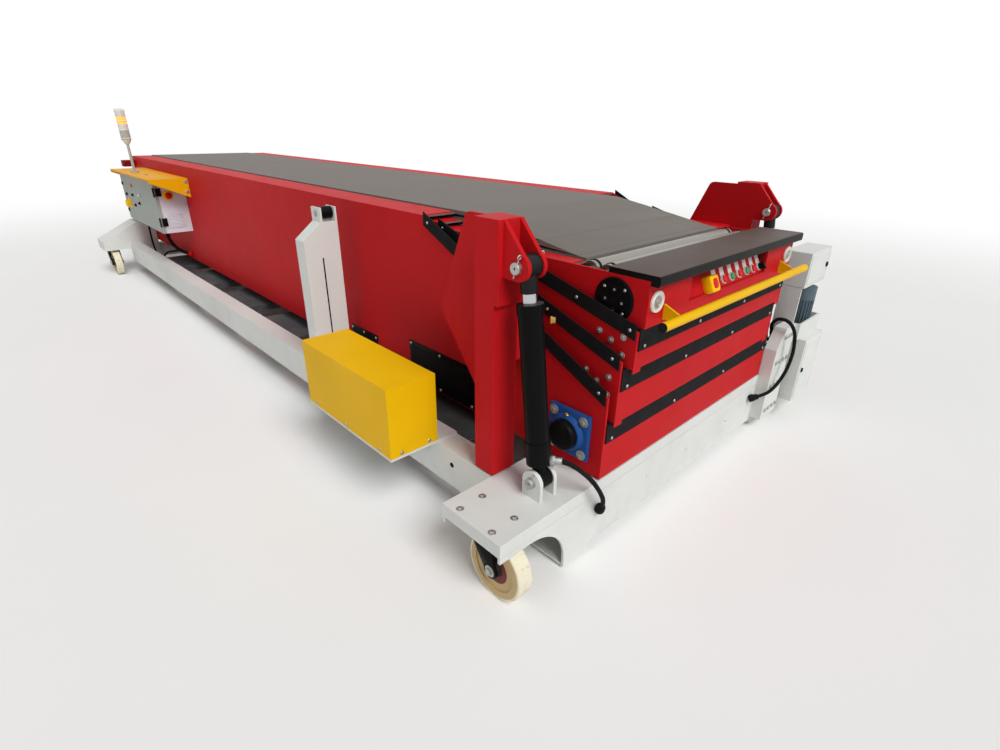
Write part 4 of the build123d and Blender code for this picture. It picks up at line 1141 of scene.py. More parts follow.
    def place(self, piece: Object, where: Matrix) -> Object:
        """Moves one modelled shape to its place.

        Args:
            piece: the shape.
            where: its placement, which goes into its mesh.
        Returns:
            The shape.
        """
        piece.matrix_world = where
        self._only(piece)
        bpy.ops.object.transform_apply(location=True, rotation=True, scale=True)
        return piece

    def _scaled(self, name: str, radius: float, rings: Sequence[tuple[float, float]], sides: int,
                foot: float = 1.0) -> Object:
        """Turns rings that are given as shares of a radius, from a foot sunk in the ground."""
        grown = [(radius * wide, radius * high) for wide, high in rings]
        return self.turned(name, [(radius * foot, self.sunk), *grown], sides)

    def screw(self, radius: float) -> Object:
        """Models a domed screw head with a socket."""
        return self._scaled("screw_master", radius, self.screw_rings, 12)

    def bolt(self, radius: float) -> Object:
        """Models a hexagon bolt head on its washer.

        Args:
            radius: from the middle of the head to its corners.
        Returns:
            The bolt head.
        """
        washer = self._scaled("washer_master", radius, self.washer_rings, 20, self.washer_rings[0][0])
        head = self.turned("head_master", [(radius * wide, radius * high) for wide, high in self.head_rings], 6)
        return self.fuse("bolt_master", (washer, head))

    def hand_over(self, piece: Object, finish: Finish, body: str, angle: float = 32.0) -> None:
        """Finishes a piece.

        Args:
            piece: the modelled piece.
            finish: what it is made of.
            body: the body that carries it.
            angle: degrees up to which an edge is shaded smooth.
        """
        slot = SLOTS.get(finish.name, finish.name)
        self._only(piece)
        bpy.ops.object.shade_smooth_by_angle(angle=radians(angle))
        piece.data.materials.clear()
        piece.data.materials.append(self.finishes.get(finish))
        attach(piece, body)
        LOG.info("piece %s", piece.name)

    def deal(self, name: str, master: Object, places: Sequence[Matrix], finish: Finish, body: str,
             angle: float = 32.0) -> Object:
        """Spreads a shape over its places and finishes the joined copies.

        Args:
            name: the joined piece's name.
            master: the shape, which is used up.
            places: where each copy goes.
            finish: what they are made of.
            body: the body that carries them.
            angle: degrees up to which an edge is shaded smooth.
        Returns:
            The joined piece.
        """
        piece = self.spread(name, master, places)
        self.hand_over(piece, finish, body, angle)
        return piece


def facing(point: Sequence[float], direction: Sequence[float], spin: float = 0.0) -> Matrix:
    """Places a shape modelled round +Z.

    Args:
        point: where its foot goes.
        direction: the way it looks.
        spin: degrees that it turns about itself.
    Returns:
        The placement.
    """
    turn = Vector(direction).to_track_quat("Z", "Y").to_matrix().to_4x4()
    return Matrix.Translation(point) @ turn @ Matrix.Rotation(radians(spin), 4, "Z")


def along_x(x: float, spots: Spots, way: int = 1, spin: float = 0.0) -> list[Matrix]:
    """Places shapes that look along X, at the Y and Z of each spot."""
    return [facing((x, y, z), (way, 0, 0), spin) for y, z in spots]


def along_y(y: float, spots: Spots, way: float, spin: float = 0.0) -> list[Matrix]:
    """Places shapes that look along Y, at the X and Z of each spot."""
    return [facing((x, y, z), (0, way, 0), spin) for x, z in spots]


def both_sides(y: float, spots: Spots, spin: float = 0.0) -> list[Matrix]:
    """Places shapes that look outwards on the right and on the left, at the X and Z of each spot."""
    return [place for _, side in SIDES for place in along_y(side * y, spots, side, spin)]


@dataclass
class Trim:
    """Small pieces of one part of the machine."""

    bench: Bench

    def build(self) -> None:
        """Adds the pieces."""
        raise NotImplementedError


@dataclass(frozen=True)
class SectionFace:
    """Where the screws of one telescopic section go."""

    name: str
    body: str
    nose: float
    half_width: float
    strip_low: float
    corner: float
    slope: float
    run: float
    bolts: Spots = ()


@dataclass
class SectionTrim(Trim):
    """Screws of the wiper strips and bolts near the noses."""

    faces: tuple[SectionFace, ...] = (
        SectionFace("outer", "boom", 2.400, 0.550, 0.373, 0.540, 25.4, 0.805),
        SectionFace("stage_1", "stage_1", 2.408, 0.516, 0.5303, 0.638, 18.8, 0.774,
                    ((2.294, 0.564), (2.333, 0.542), (2.372, 0.565), (2.373, 0.512))),
        SectionFace("stage_2", "stage_2", 2.430, 0.490, 0.6506, 0.724, 14.8, 0.593,
                    ((2.309, 0.679), (2.349, 0.662), (2.388, 0.681), (2.389, 0.629))),
    )
    strip: float = 0.004
    side_width: float = 0.041
    side_inset: float = 0.005
    front_inset: float = 0.035
    front_rise: float = 0.011
    screw_r: float = 0.0050
    bolt_r: float = 0.0060
    bolt_turn: float = 20.0
    front_shares: tuple[float, ...] = (-1.0, -1 / 3, 1 / 3, 1.0)
    side_shares: tuple[float, ...] = (0.03, 0.34, 0.66, 0.97)

    def build(self) -> None:
        """Adds the screws and bolts of each section."""
        for face in self.faces:
            screw = self.bench.screw(self.screw_r)
            self.bench.deal(f"{face.name}_strip_screws", screw, self._screws(face), ZINC, face.body)
            if face.bolts:
                places = [facing((x, side * face.half_width, z), (0, side, 0), self.bolt_turn * i)
                          for _, side in SIDES for i, (x, z) in enumerate(face.bolts)]
                self.bench.deal(f"{face.name}_side_bolts", self.bench.bolt(self.bolt_r), places, ZINC, face.body)

    def _screws(self, face: SectionFace) -> list[Matrix]:
        """Places the screws along a section's front and side strips.

        Args:
            face: the section.
        Returns:
            The placements.
        """
        reach, rise = face.half_width - self.front_inset, face.strip_low + self.front_rise
        places = along_x(face.nose + self.strip, [(reach * share, rise) for share in self.front_shares])
        slope = radians(face.slope)
        spots = []
        for share in self.side_shares:
            back = face.run * share
            height = face.corner + back * tan(slope) - self.side_width / 2 / cos(slope)
            spots.append((face.nose - self.side_inset - back, height))
        return places + both_sides(face.half_width + self.strip, spots)


@dataclass
class BeltTrim(Trim):
    """Thin wedges that carry the belt's slope on past the lip of the section above."""

    half_width: float = 0.4045
    lip: float = 0.002
    thin_end: float = 0.0001
    ramps: tuple[tuple[str, float, float, float, float], ...] = (
        ("stage_1", 1.8523, 1.9970, 0.891, 0.8702),
        ("stage_2", 1.9983, 2.1430, 0.868, 0.8472),
        ("head", 2.1443, 2.1780, 0.845, 0.845),
    )

    def build(self) -> None:
        """Adds a wedge to each belt that takes over from another."""
        for body, back, front, high, low in self.ramps:
            wedge = self.bench.block(f"{body}_belt_lip", (back, -self.half_width, high),
                                     (front, self.half_width, high + self.lip), HAIR)
            middle, top = (back + front) / 2, low + self.lip / 2
            self.bench.nudge(wedge, lambda point: point.x > middle, (0.0, 0.0, low - high))
            drop = (0.0, 0.0, self.thin_end - self.lip)
            self.bench.nudge(wedge, lambda point: point.x > middle and point.z > top, drop)
            self.bench.hand_over(wedge, BELT, body)


@dataclass
class BoomTrim(Trim):
    """Bearings and inspection plates of the outer section, and its tail's cover, bolts and small block."""

    side_y: float = 0.550
    bearing: tuple[float, float] = (2.284, 0.372)
    bearing_half: float = 0.074
    bearing_thick: float = 0.017
    bearing_pitch: float = 0.055
    bearing_bolt_r: float = 0.0095
    cap_sunk: float = 0.002
    nipple: tuple[float, float] = (0.006, 0.056)
    plates: tuple[tuple[float, float, float, float], ...] = (
        (1.003, 1.220, 0.258, 0.367), (1.461, 1.848, 0.258, 0.423))
    plate_thick: float = 0.003
    plate_rim: float = 0.022
    plate_inset: float = 0.012
    raised: float = 0.0012
    screw_r: float = 0.006
    tail_block: tuple[Point, Point] = ((-2.490, -0.640, 0.832), (-2.420, -0.550, 0.881))
    tail_x: float = -2.507
    tail_cover: tuple[float, float, float] = (0.400, 0.360, 0.800)
    tail_rim: float = 0.030
    tail_inset: float = 0.015
    tail_bolt_r: float = 0.0065
    tail_bolt_y: float = 0.515
    tail_bolts: tuple[float, ...] = (0.300, 0.480, 0.660, 0.840)

    def build(self) -> None:
        """Adds the trim of the outer section."""
        self._bearings()
        self._plates()
        block = self.bench.block("tail_block", *self.tail_block, soften=0.006)
        # The tail block takes the darker copy of the red: painted shade.
        self.bench.hand_over(self.bench.recess(block, (1, 0, 0), 0.010, 0.004), SHADED_RED_PAINT, "boom")
        self._tail()

    def _tail(self) -> None:
        """Adds the access cover on the tail plate, its screws and the plate's own bolts."""
        half, low, high = self.tail_cover
        face = self.tail_x - self.plate_thick
        cover = self.bench.block("tail_cover", (face, -half, low), (self.tail_x + BITE, half, high), 0.0015)
        self.bench.hand_over(self.bench.recess(cover, (-1, 0, 0), self.tail_rim, -self.raised), RED_PAINT, "boom")
        wide, levels = half - self.tail_inset, (low + self.tail_inset, high - self.tail_inset)
        edges = [(y, z) for y in (-wide, -half / 2, 0.0, half / 2, wide) for z in levels]
        edges += [(side * wide, (low + high) / 2) for _, side in SIDES]
        self.bench.deal("tail_cover_screws", self.bench.screw(self.screw_r), along_x(face, edges, -1), ZINC, "boom")
        spots = [(side * self.tail_bolt_y, z) for _, side in SIDES for z in self.tail_bolts]
        bolts = along_x(self.tail_x, spots, -1, 10.0)
        self.bench.deal("tail_bolts", self.bench.bolt(self.tail_bolt_r), bolts, ZINC, "boom")

    def _bearings(self) -> None:
        """Adds the cast flange bearings with their caps, bolts and grease nipples."""
        x, z = self.bearing
        half, face = self.bearing_half, self.side_y + self.bearing_thick
        flanges = []
        for name, side in SIDES:
            flange = self.bench.block(f"flange_{name}", (x - half, side * self.side_y, z - half),
                                      (x + half, side * face, z + half), 0.004)
            hub = self.bench.shaped(f"hub_{name}", Profile.HUB)
            flanges += [flange, self.bench.place(hub, facing((x, side * face, z), (0, side, 0)))]
        cast = self.bench.fuse("bearing_flanges", flanges)
        self.bench.hand_over(cast, BEARING_PAINT, "boom")
        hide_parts("flange_bearings")
        cap = self.bench.shaped("cap_master", Profile.CAP)
        caps = both_sides(face - self.cap_sunk, [self.bearing])
        self.bench.deal("bearing_caps", cap, caps, BLACK_PLASTIC, "boom", 45.0)
        corners = [(x + i * self.bearing_pitch, z + j * self.bearing_pitch) for i in (-1, 1) for j in (-1, 1)]
        bolts = both_sides(face, corners, 15.0)
        self.bench.deal("bearing_bolts", self.bench.bolt(self.bearing_bolt_r), bolts, ZINC, "boom")
        nipple = self.bench.shaped("nipple_master", Profile.NIPPLE)
        out, up = self.nipple
        tops = [facing((x, side * (face + out), z + up), (0, side * 0.6, 1)) for _, side in SIDES]
        self.bench.deal("bearing_nipples", nipple, tops, BRASS, "boom")

    def _plates(self) -> None:
        """Adds the black inspection plates and their screws."""
        sheets, places = [], []
        face, inset = self.side_y + self.plate_thick, self.plate_inset
        for name, side in SIDES:
            for i, (x0, x1, z0, z1) in enumerate(self.plates):
                sheet = self.bench.block(f"inspection_{name}_{i}", (x0, side * (self.side_y - BITE), z0),
                                         (x1, side * face, z1), 0.0012)
                sheets.append(self.bench.recess(sheet, (0, side, 0), self.plate_rim, -self.raised))
                edges = [(x, z) for x in (x0 + inset, (x0 + x1) / 2, x1 - inset) for z in (z0 + inset, z1 - inset)]
                places += along_y(side * face, edges, side)
        self.bench.hand_over(self.bench.fuse("inspection_plates", sheets), BLACK_PLASTIC, "boom")
        self.bench.deal("inspection_screws", self.bench.screw(self.screw_r), places, ZINC, "boom")


@dataclass
class LiftTrim(Trim):
    """Pin heads, split pins, port plugs and hose fittings of the lift."""

    upper: tuple[float, float] = (2.244, 0.883)
    lower: tuple[float, float] = (2.318, 0.300)
    cylinder_y: float = 0.720
    pin_half: float = 0.0463
    split_inset: float = 0.006
    split_lean: Point = (0.35, 0.0, 1.0)
    eye_up: float = 0.030
    along: Point = (-0.125919, 0.0, 0.99204)
    port_at: float = 0.4537
    port_reach: float = 0.050

    def build(self) -> None:
        """Adds the trim of both cylinders."""
        ends = [(side * self.cylinder_y + edge * self.pin_half, edge) for _, side in SIDES for edge in (-1, 1)]
        for body, (x, z), level in (("boom", self.upper, "upper"), ("chassis", self.lower, "lower")):
            places = [facing((x, y, z), (0, edge, 0)) for y, edge in ends]
            self.bench.deal(f"{level}_pins", self.bench.shaped("pin_master", Profile.PIN), places, ZINC, body)
            places = [facing((x, y - edge * self.split_inset, z), self.split_lean) for y, edge in ends]
            self.bench.deal(f"{level}_split_pins", self._split_pin(), places, ZINC, body)
        self._ports()
        self._fittings()

    def _split_pin(self) -> Object:
        """Models a split pin with its eye upright on its end.

        Returns:
            The split pin, round +Z.
        """
        wire = self.bench.shaped("wire", Profile.WIRE)
        upright = Matrix.Translation((0.0, 0.0, self.eye_up)) @ Matrix.Rotation(pi / 2, 4, "X")
        eye = self.bench.place(self.bench.loop("eye", 0.0055, 0.0016, 340.0), upright)
        return self.bench.fuse("split_master", (wire, eye))

    def _ports(self) -> None:
        """Closes each cylinder's upper port with a brass plug."""
        for name, side in SIDES:
            foot = Vector((self.lower[0], side * self.cylinder_y, self.lower[1]))
            out = Vector((1.0, -side, 0.0)).normalized()
            plug = self.bench.shaped(f"{name}_port_plug", Profile.PORT_PLUG)
            port = foot + Vector(self.along) * self.port_at + out * self.port_reach
            self.bench.hand_over(self.bench.place(plug, facing(port, out)), BRASS, f"{name}_barrel")

    def _fittings(self) -> None:
        """Adds a nut and a sleeve at the top of each lift hose and a grommet at its foot."""
        lines = [[Vector(point) / 1000 for point in route.points] for route in CORDS[:2]]
        tops = [facing(line[0], line[1] - line[0]) for line in lines]
        feet = [facing(line[-1], line[-1] - line[-2]) for line in lines]
        for name, profile, places, finish in (
                ("hose_nuts", Profile.NUT, tops, ZINC), ("hose_sleeves", Profile.SLEEVE, tops, ZINC),
                ("hose_grommets", Profile.GROMMET, feet, BLACK_RUBBER)):
            self.bench.deal(name, self.bench.shaped(f"{name}_master", profile), places, finish, "chassis")


@dataclass
class ChassisTrim(Trim):
    """Bolts of the beams, guard, guide posts and power unit."""

    beam_top: float = 0.248
    beam_face: float = 2.400
    plates: Spots = ((2.285, -0.889), (2.285, 0.889))
    plate_pitch: tuple[float, float] = (0.0635, 0.0405)
    plate_bolt_r: float = 0.0065
    face_screws: Spots = ((-0.268, 0.138), (-0.006, 0.126), (0.302, 0.127))
    face_screw_r: float = 0.008
    guard_y: float = -0.945
    guard_screws: Spots = ((1.431, 0.270), (1.640, 0.270), (1.850, 0.270))
    guard_ends: tuple[tuple[float, int], ...] = ((1.911, 1), (1.376, -1))
    guard_end_screws: Spots = ((-0.800, 0.268), (-0.905, 0.268))
    guard_screw_r: float = 0.0065
    unit_post_x: float = 2.448
    unit_post_rows: tuple[tuple[float, tuple[float, ...]], ...] = (
        (0.412, (0.630, 0.660, 0.690)), (0.308, (0.585, 0.620, 0.655, 0.690)),
        (0.200, (0.585, 0.620, 0.655, 0.690)), (0.087, (0.585, 0.620, 0.655, 0.690)))
    unit_bolt_r: float = 0.0062
    rail_plug: Point = (1.982, -0.766, 0.193)
    post_slot: tuple[Point, Point] = ((1.0955, 0.690, 0.330), (1.0965, 0.696, 0.700))
    roller_pin: Point = (1.061, 0.685, 0.868)
    roller_pin_r: float = 0.008
    cabinet_door: tuple[Point, Point] = ((2.443, 0.724, 0.613), (2.447, 0.933, 0.733))
    tank_door: tuple[Point, Point] = ((2.494, 0.756, 0.106), (2.498, 0.931, 0.368))
    latches: tuple[Point, Point] = ((2.446, 0.915, 0.673), (2.497, 0.775, 0.237))

    def build(self) -> None:
        """Adds the trim of the base."""
        heads = [facing((x + i * self.plate_pitch[0], y + j * self.plate_pitch[1], self.beam_top), (0, 0, 1), 11.0)
                 for x, y in self.plates for i in (-1, 1) for j in (-1, 1)]
        self.bench.deal("beam_top_bolts", self.bench.bolt(self.plate_bolt_r), heads, ZINC, "chassis")
        marks = along_x(self.beam_face, self.face_screws)
        self.bench.deal("beam_face_screws", self.bench.screw(self.face_screw_r), marks, WHITE_PAINT, "chassis")
        places = along_y(self.guard_y, self.guard_screws, -1)
        for end, way in self.guard_ends:
            places += along_x(end, self.guard_end_screws, way)
        self.bench.deal("guard_screws", self.bench.screw(self.guard_screw_r), places, ZINC, "chassis")
        rows = [facing((self.unit_post_x, y, z), (1, 0, 0), 13.0 * i)
                for z, ys in self.unit_post_rows for i, y in enumerate(ys)]
        self.bench.deal("unit_post_bolts", self.bench.bolt(self.unit_bolt_r), rows, ZINC, "chassis")
        plug = self.bench.place(self.bench.shaped("rail_plug", Profile.RAIL_PLUG), facing(self.rail_plug, (0, -1, 0)))
        self.bench.hand_over(plug, BLACK_PLASTIC, "chassis")
        self._posts()
        self._unit()

    def _posts(self) -> None:
        """Adds the dark slots and the roller pins of the guide posts."""
        slots = [self.bench.block(f"slot_{name}", *((x, side * y, z) for x, y, z in self.post_slot), soften=HAIR)
                 for name, side in SIDES]
        self.bench.hand_over(self.bench.fuse("post_slots", slots), BLACK_PLASTIC, "chassis")
        x, y, z = self.roller_pin
        pins = both_sides(y, [(x, z)])
        self.bench.deal("post_roller_pins", self.bench.bolt(self.roller_pin_r), pins, ZINC, "chassis")

    def _unit(self) -> None:
        """Adds the doors of the power unit's cabinet and tank, and their latches."""
        cabinet = self.bench.block("cabinet_door", *self.cabinet_door, soften=0.0012)
        tank = self.bench.block("tank_door", *self.tank_door, soften=0.0012)
        doors = [self.bench.recess(door, (1, 0, 0), 0.008, 0.0008) for door in (cabinet, tank)]
        self.bench.hand_over(self.bench.fuse("unit_doors", doors), WHITE_PAINT, "chassis")
        latch = self.bench.shaped("latch_master", Profile.LATCH)
        places = [facing(point, (1, 0, 0)) for point in self.latches]
        self.bench.deal("unit_latches", latch, places, BLACK_PLASTIC, "chassis")


@dataclass
class CasterTrim(Trim):
    """Axle bolts, fork plates and swivel races of the casters."""

    swivels: tuple[tuple[str, float, float], ...] = (
        ("front_right", 2.283, -0.882), ("front_left", 2.283, 0.882),
        ("rear_right", -2.385, -0.882), ("rear_left", -2.385, 0.882))
    trail: float = 0.049
    axle_z: float = 0.100
    axle_bolt_r: float = 0.0105
    fork_half: float = 0.039
    plate_x: tuple[float, float] = (-0.040, 0.044)
    plate_y: tuple[float, float] = (0.0305, 0.0402)
    plate_top: float = 0.200
    plate_narrow: float = 0.56
    eye_y: float = 0.0303
    race_z: float = 0.2215

    def build(self) -> None:
        """Adds the trim of each caster."""
        for name, x, y in self.swivels:
            body, axle = f"{name}_fork", [(x + self.trail, self.axle_z)]
            ends = [along_y(y + edge * self.fork_half, axle, edge, 10.0)[0] for edge in (-1, 1)]
            self.bench.deal(f"{name}_axle_bolts", self.bench.bolt(self.axle_bolt_r), ends, ZINC, body)
            plates = [piece for edge in (-1, 1) for piece in self._plate(x, y, edge)]
            self.bench.hand_over(self.bench.fuse(f"{name}_fork_plates", plates), BLACK_PAINT, body)
            race = self.bench.shaped(f"{name}_race", Profile.RACE)
            self.bench.hand_over(self.bench.place(race, Matrix.Translation((x, y, self.race_z))), ZINC, body)

    def _plate(self, x: float, y: float, edge: int) -> tuple[Object, Object]:
        """Models one of a fork's plates, which narrows towards the axle.

        Args:
            x: the swivel's place along X.
            y: its place along Y.
            edge: 1 for the plate on its left, -1 for the one on its right.
        Returns:
            The plate and its eye.
        """
        (back, front), (near, far) = self.plate_x, self.plate_y
        middle = (self.axle_z + self.plate_top) / 2
        plate = self.bench.block(f"plate_{edge}", (x + back, y + edge * near, self.axle_z),
                                 (x + front, y + edge * far, self.plate_top), 0.0015)
        self.bench.nudge(plate, lambda point: point.z < middle, (self.trail - 0.002, 0.0, 0.0), self.plate_narrow)
        eye = self.bench.shaped("eye", Profile.FORK_EYE)
        where = facing((x + self.trail, y + edge * self.eye_y, self.axle_z), (0, edge, 0))
        return plate, self.bench.place(eye, where)


@dataclass
class ControlTrim(Trim):
    """Stop button, louvres, hinges, lamps and knobs of the control box, and the hood's bolts."""

    face_x: float = -1.183
    door_y: float = -0.737
    stop: tuple[float, float] = (-0.660, 0.723)
    grille: tuple[float, float, float, float] = (-0.700, -0.588, 0.510, 0.612)
    grille_thick: float = 0.004
    slats: int = 9
    slat_half: float = 0.0042
    slat_inset: float = 0.007
    slat_lean: float = -38.0
    hood_ends: tuple[tuple[float, int], ...] = ((-1.056, 1), (-2.155, -1))
    hood_bolts: Spots = ((-0.566, 0.815), (-0.566, 0.752))
    hood_bolt_r: float = 0.007
    hood_vent: tuple[Point, Point] = ((-1.500, -0.702, 0.8376), (-1.430, -0.690, 0.8386))
    hinge_y: tuple[float, float] = (-0.7305, -0.698)
    hinge_z: tuple[float, ...] = (0.526, 0.721)
    hinge_high: float = 0.052
    hinge_thick: float = 0.012
    bezels: Spots = (
        (-1.813, 0.741), (-2.026, 0.663), (-1.831, 0.673), (-1.814, 0.602), (-1.670, 0.628), (-1.622, 0.690))
    lamps: tuple[tuple[str, int, Finish], ...] = (("red", 0, LIT_RED), ("white", 5, WHITE_PLASTIC))
    knob_turn: float = 0.6
    isolator: tuple[float, float] = (-1.990, 0.600)
    isolator_half: float = 0.034
    isolator_thick: float = 0.004
    locks: Spots = ((-2.095, 0.737), (-2.095, 0.540))

    def build(self) -> None:
        """Adds the trim of the control box."""
        self._hinges()
        self._stop()
        self._louvres()
        self._door()
        self._isolator()
        bolts = [place for x, way in self.hood_ends for place in along_x(x, self.hood_bolts, way)]
        self.bench.deal("hood_bolts", self.bench.bolt(self.hood_bolt_r), bolts, ZINC, "boom")
        self.bench.hand_over(self.bench.block("hood_vent", *self.hood_vent, soften=HAIR), BLACK_PLASTIC, "boom")

    def _hinges(self) -> None:
        """Adds the black hinge blocks beside the door's front edge."""
        blocks = []
        for i, z in enumerate(self.hinge_z):
            block = self.bench.block(f"hinge_{i}", (self.face_x - BITE, self.hinge_y[0], z),
                                     (self.face_x + self.hinge_thick, self.hinge_y[1], z + self.hinge_high), 0.003)
            blocks.append(self.bench.recess(block, (1, 0, 0), 0.006, 0.002))
        self.bench.hand_over(self.bench.fuse("box_hinges", blocks), BLACK_PLASTIC, "boom")

    def _stop(self) -> None:
        """Adds the stop button on the front end of the box."""
        where = facing((self.face_x, *self.stop), (1, 0, 0))
        disc = self.bench.shaped("stop_disc", Profile.STOP_DISC)
        self.bench.hand_over(self.bench.place(disc, where), YELLOW_PLASTIC, "boom")
        cap = self.bench.shaped("stop_cap", Profile.STOP_CAP)
        self.bench.hand_over(self.bench.place(cap, where), RED_PLASTIC, "boom", 50.0)

    def _louvres(self) -> None:
        """Adds the louvred grille under the stop button."""
        y0, y1, z0, z1 = self.grille
        frame = self.bench.block("grille", (self.face_x - BITE, y0, z0), (self.face_x + self.grille_thick, y1, z1))
        self.bench.hand_over(self.bench.recess(frame, (1, 0, 0), 0.006, 0.0035), LAVENDER_PAINT, "boom")
        pitch = (z1 - z0 - 0.016) / self.slats
        slat = self.bench.block("slat", (-0.001, y0 + self.slat_inset, -self.slat_half),
                                (0.001, y1 - self.slat_inset, self.slat_half), 0.0006)
        lean = Matrix.Rotation(radians(self.slat_lean), 4, "Y")
        places = [Matrix.Translation((self.face_x + 0.0035, 0.0, z0 + 0.008 + pitch * (i + 0.5))) @ lean
                  for i in range(self.slats)]
        self.bench.deal("grille_slats", slat, places, LAVENDER_PAINT, "boom")

    def _door(self) -> None:
        """Adds the lamps and knobs on the door."""
        places = along_y(self.door_y, self.bezels, -1)
        bezel = self.bench.shaped("bezel_master", Profile.BEZEL)
        self.bench.deal("door_bezels", bezel, places, BLACK_PLASTIC, "control_door")
        for name, index, finish in self.lamps:
            lamp = self.bench.shaped("lamp_master", Profile.LAMP)
            self.bench.deal(f"door_{name}_lamp", lamp, [places[index]], finish, "control_door", 50.0)
        body = self.bench.shaped("knob_body", Profile.KNOB_BODY)
        grip = self.bench.block("knob_grip", (-0.0090, -0.0026, 0.005), (0.0090, 0.0026, 0.013), 0.0012)
        knob = self.bench.fuse("knob_master", (body, grip))
        turns = [place @ Matrix.Rotation(self.knob_turn, 4, "Z") for place in places[1:5]]
        self.bench.deal("door_knobs", knob, turns, BLACK_PLASTIC, "control_door")

    def _isolator(self) -> None:
        """Adds the main switch on its yellow plate, and the locks."""
        (x, z), half, face = self.isolator, self.isolator_half, self.door_y - self.isolator_thick
        plate = self.bench.block("isolator_plate", (x - half, face, z - half),
                                 (x + half, self.door_y + BITE, z + half), 0.0015)
        self.bench.hand_over(plate, YELLOW_PLASTIC, "control_door")
        drum = self.bench.shaped("isolator_drum", Profile.ISOLATOR_DRUM)
        handle = self.bench.block("isolator_handle", (-0.007, -0.024, 0.006), (0.007, 0.024, 0.028), 0.003)
        isolator = self.bench.place(self.bench.fuse("isolator", (drum, handle)), facing((x, face, z), (0, -1, 0)))
        self.bench.hand_over(isolator, YELLOW_PLASTIC, "control_door")
        lock = self.bench.shaped("lock_master", Profile.LOCK)
        self.bench.deal("door_locks", lock, along_y(self.door_y, self.locks, -1), BLACK_PLASTIC, "control_door")


@dataclass
class SignalTrim(Trim):
    """Collars, cap and boot of the signal light."""

    x: float = -1.700
    y: float = -0.715
    low: float = 1.057
    high: float = 1.246
    joints: tuple[float, ...] = (0.004, 0.058, 0.116)

    def build(self) -> None:
        """Adds the collars, the cap and the boot."""
        collar = self.bench.shaped("collar_master", Profile.COLLAR)
        places = [Matrix.Translation((self.x, self.y, self.low + up)) for up in self.joints]
        self.bench.deal("signal_collars", collar, places, PALE_PLASTIC, "boom")
        for name, profile, z in (("cap", Profile.SIGNAL_CAP, self.high), ("boot", Profile.SIGNAL_BOOT, self.low)):
            piece = self.bench.shaped(f"signal_{name}", profile)
            piece = self.bench.place(piece, Matrix.Translation((self.x, self.y, z)))
            self.bench.hand_over(piece, PALE_PLASTIC, "boom", 50.0)


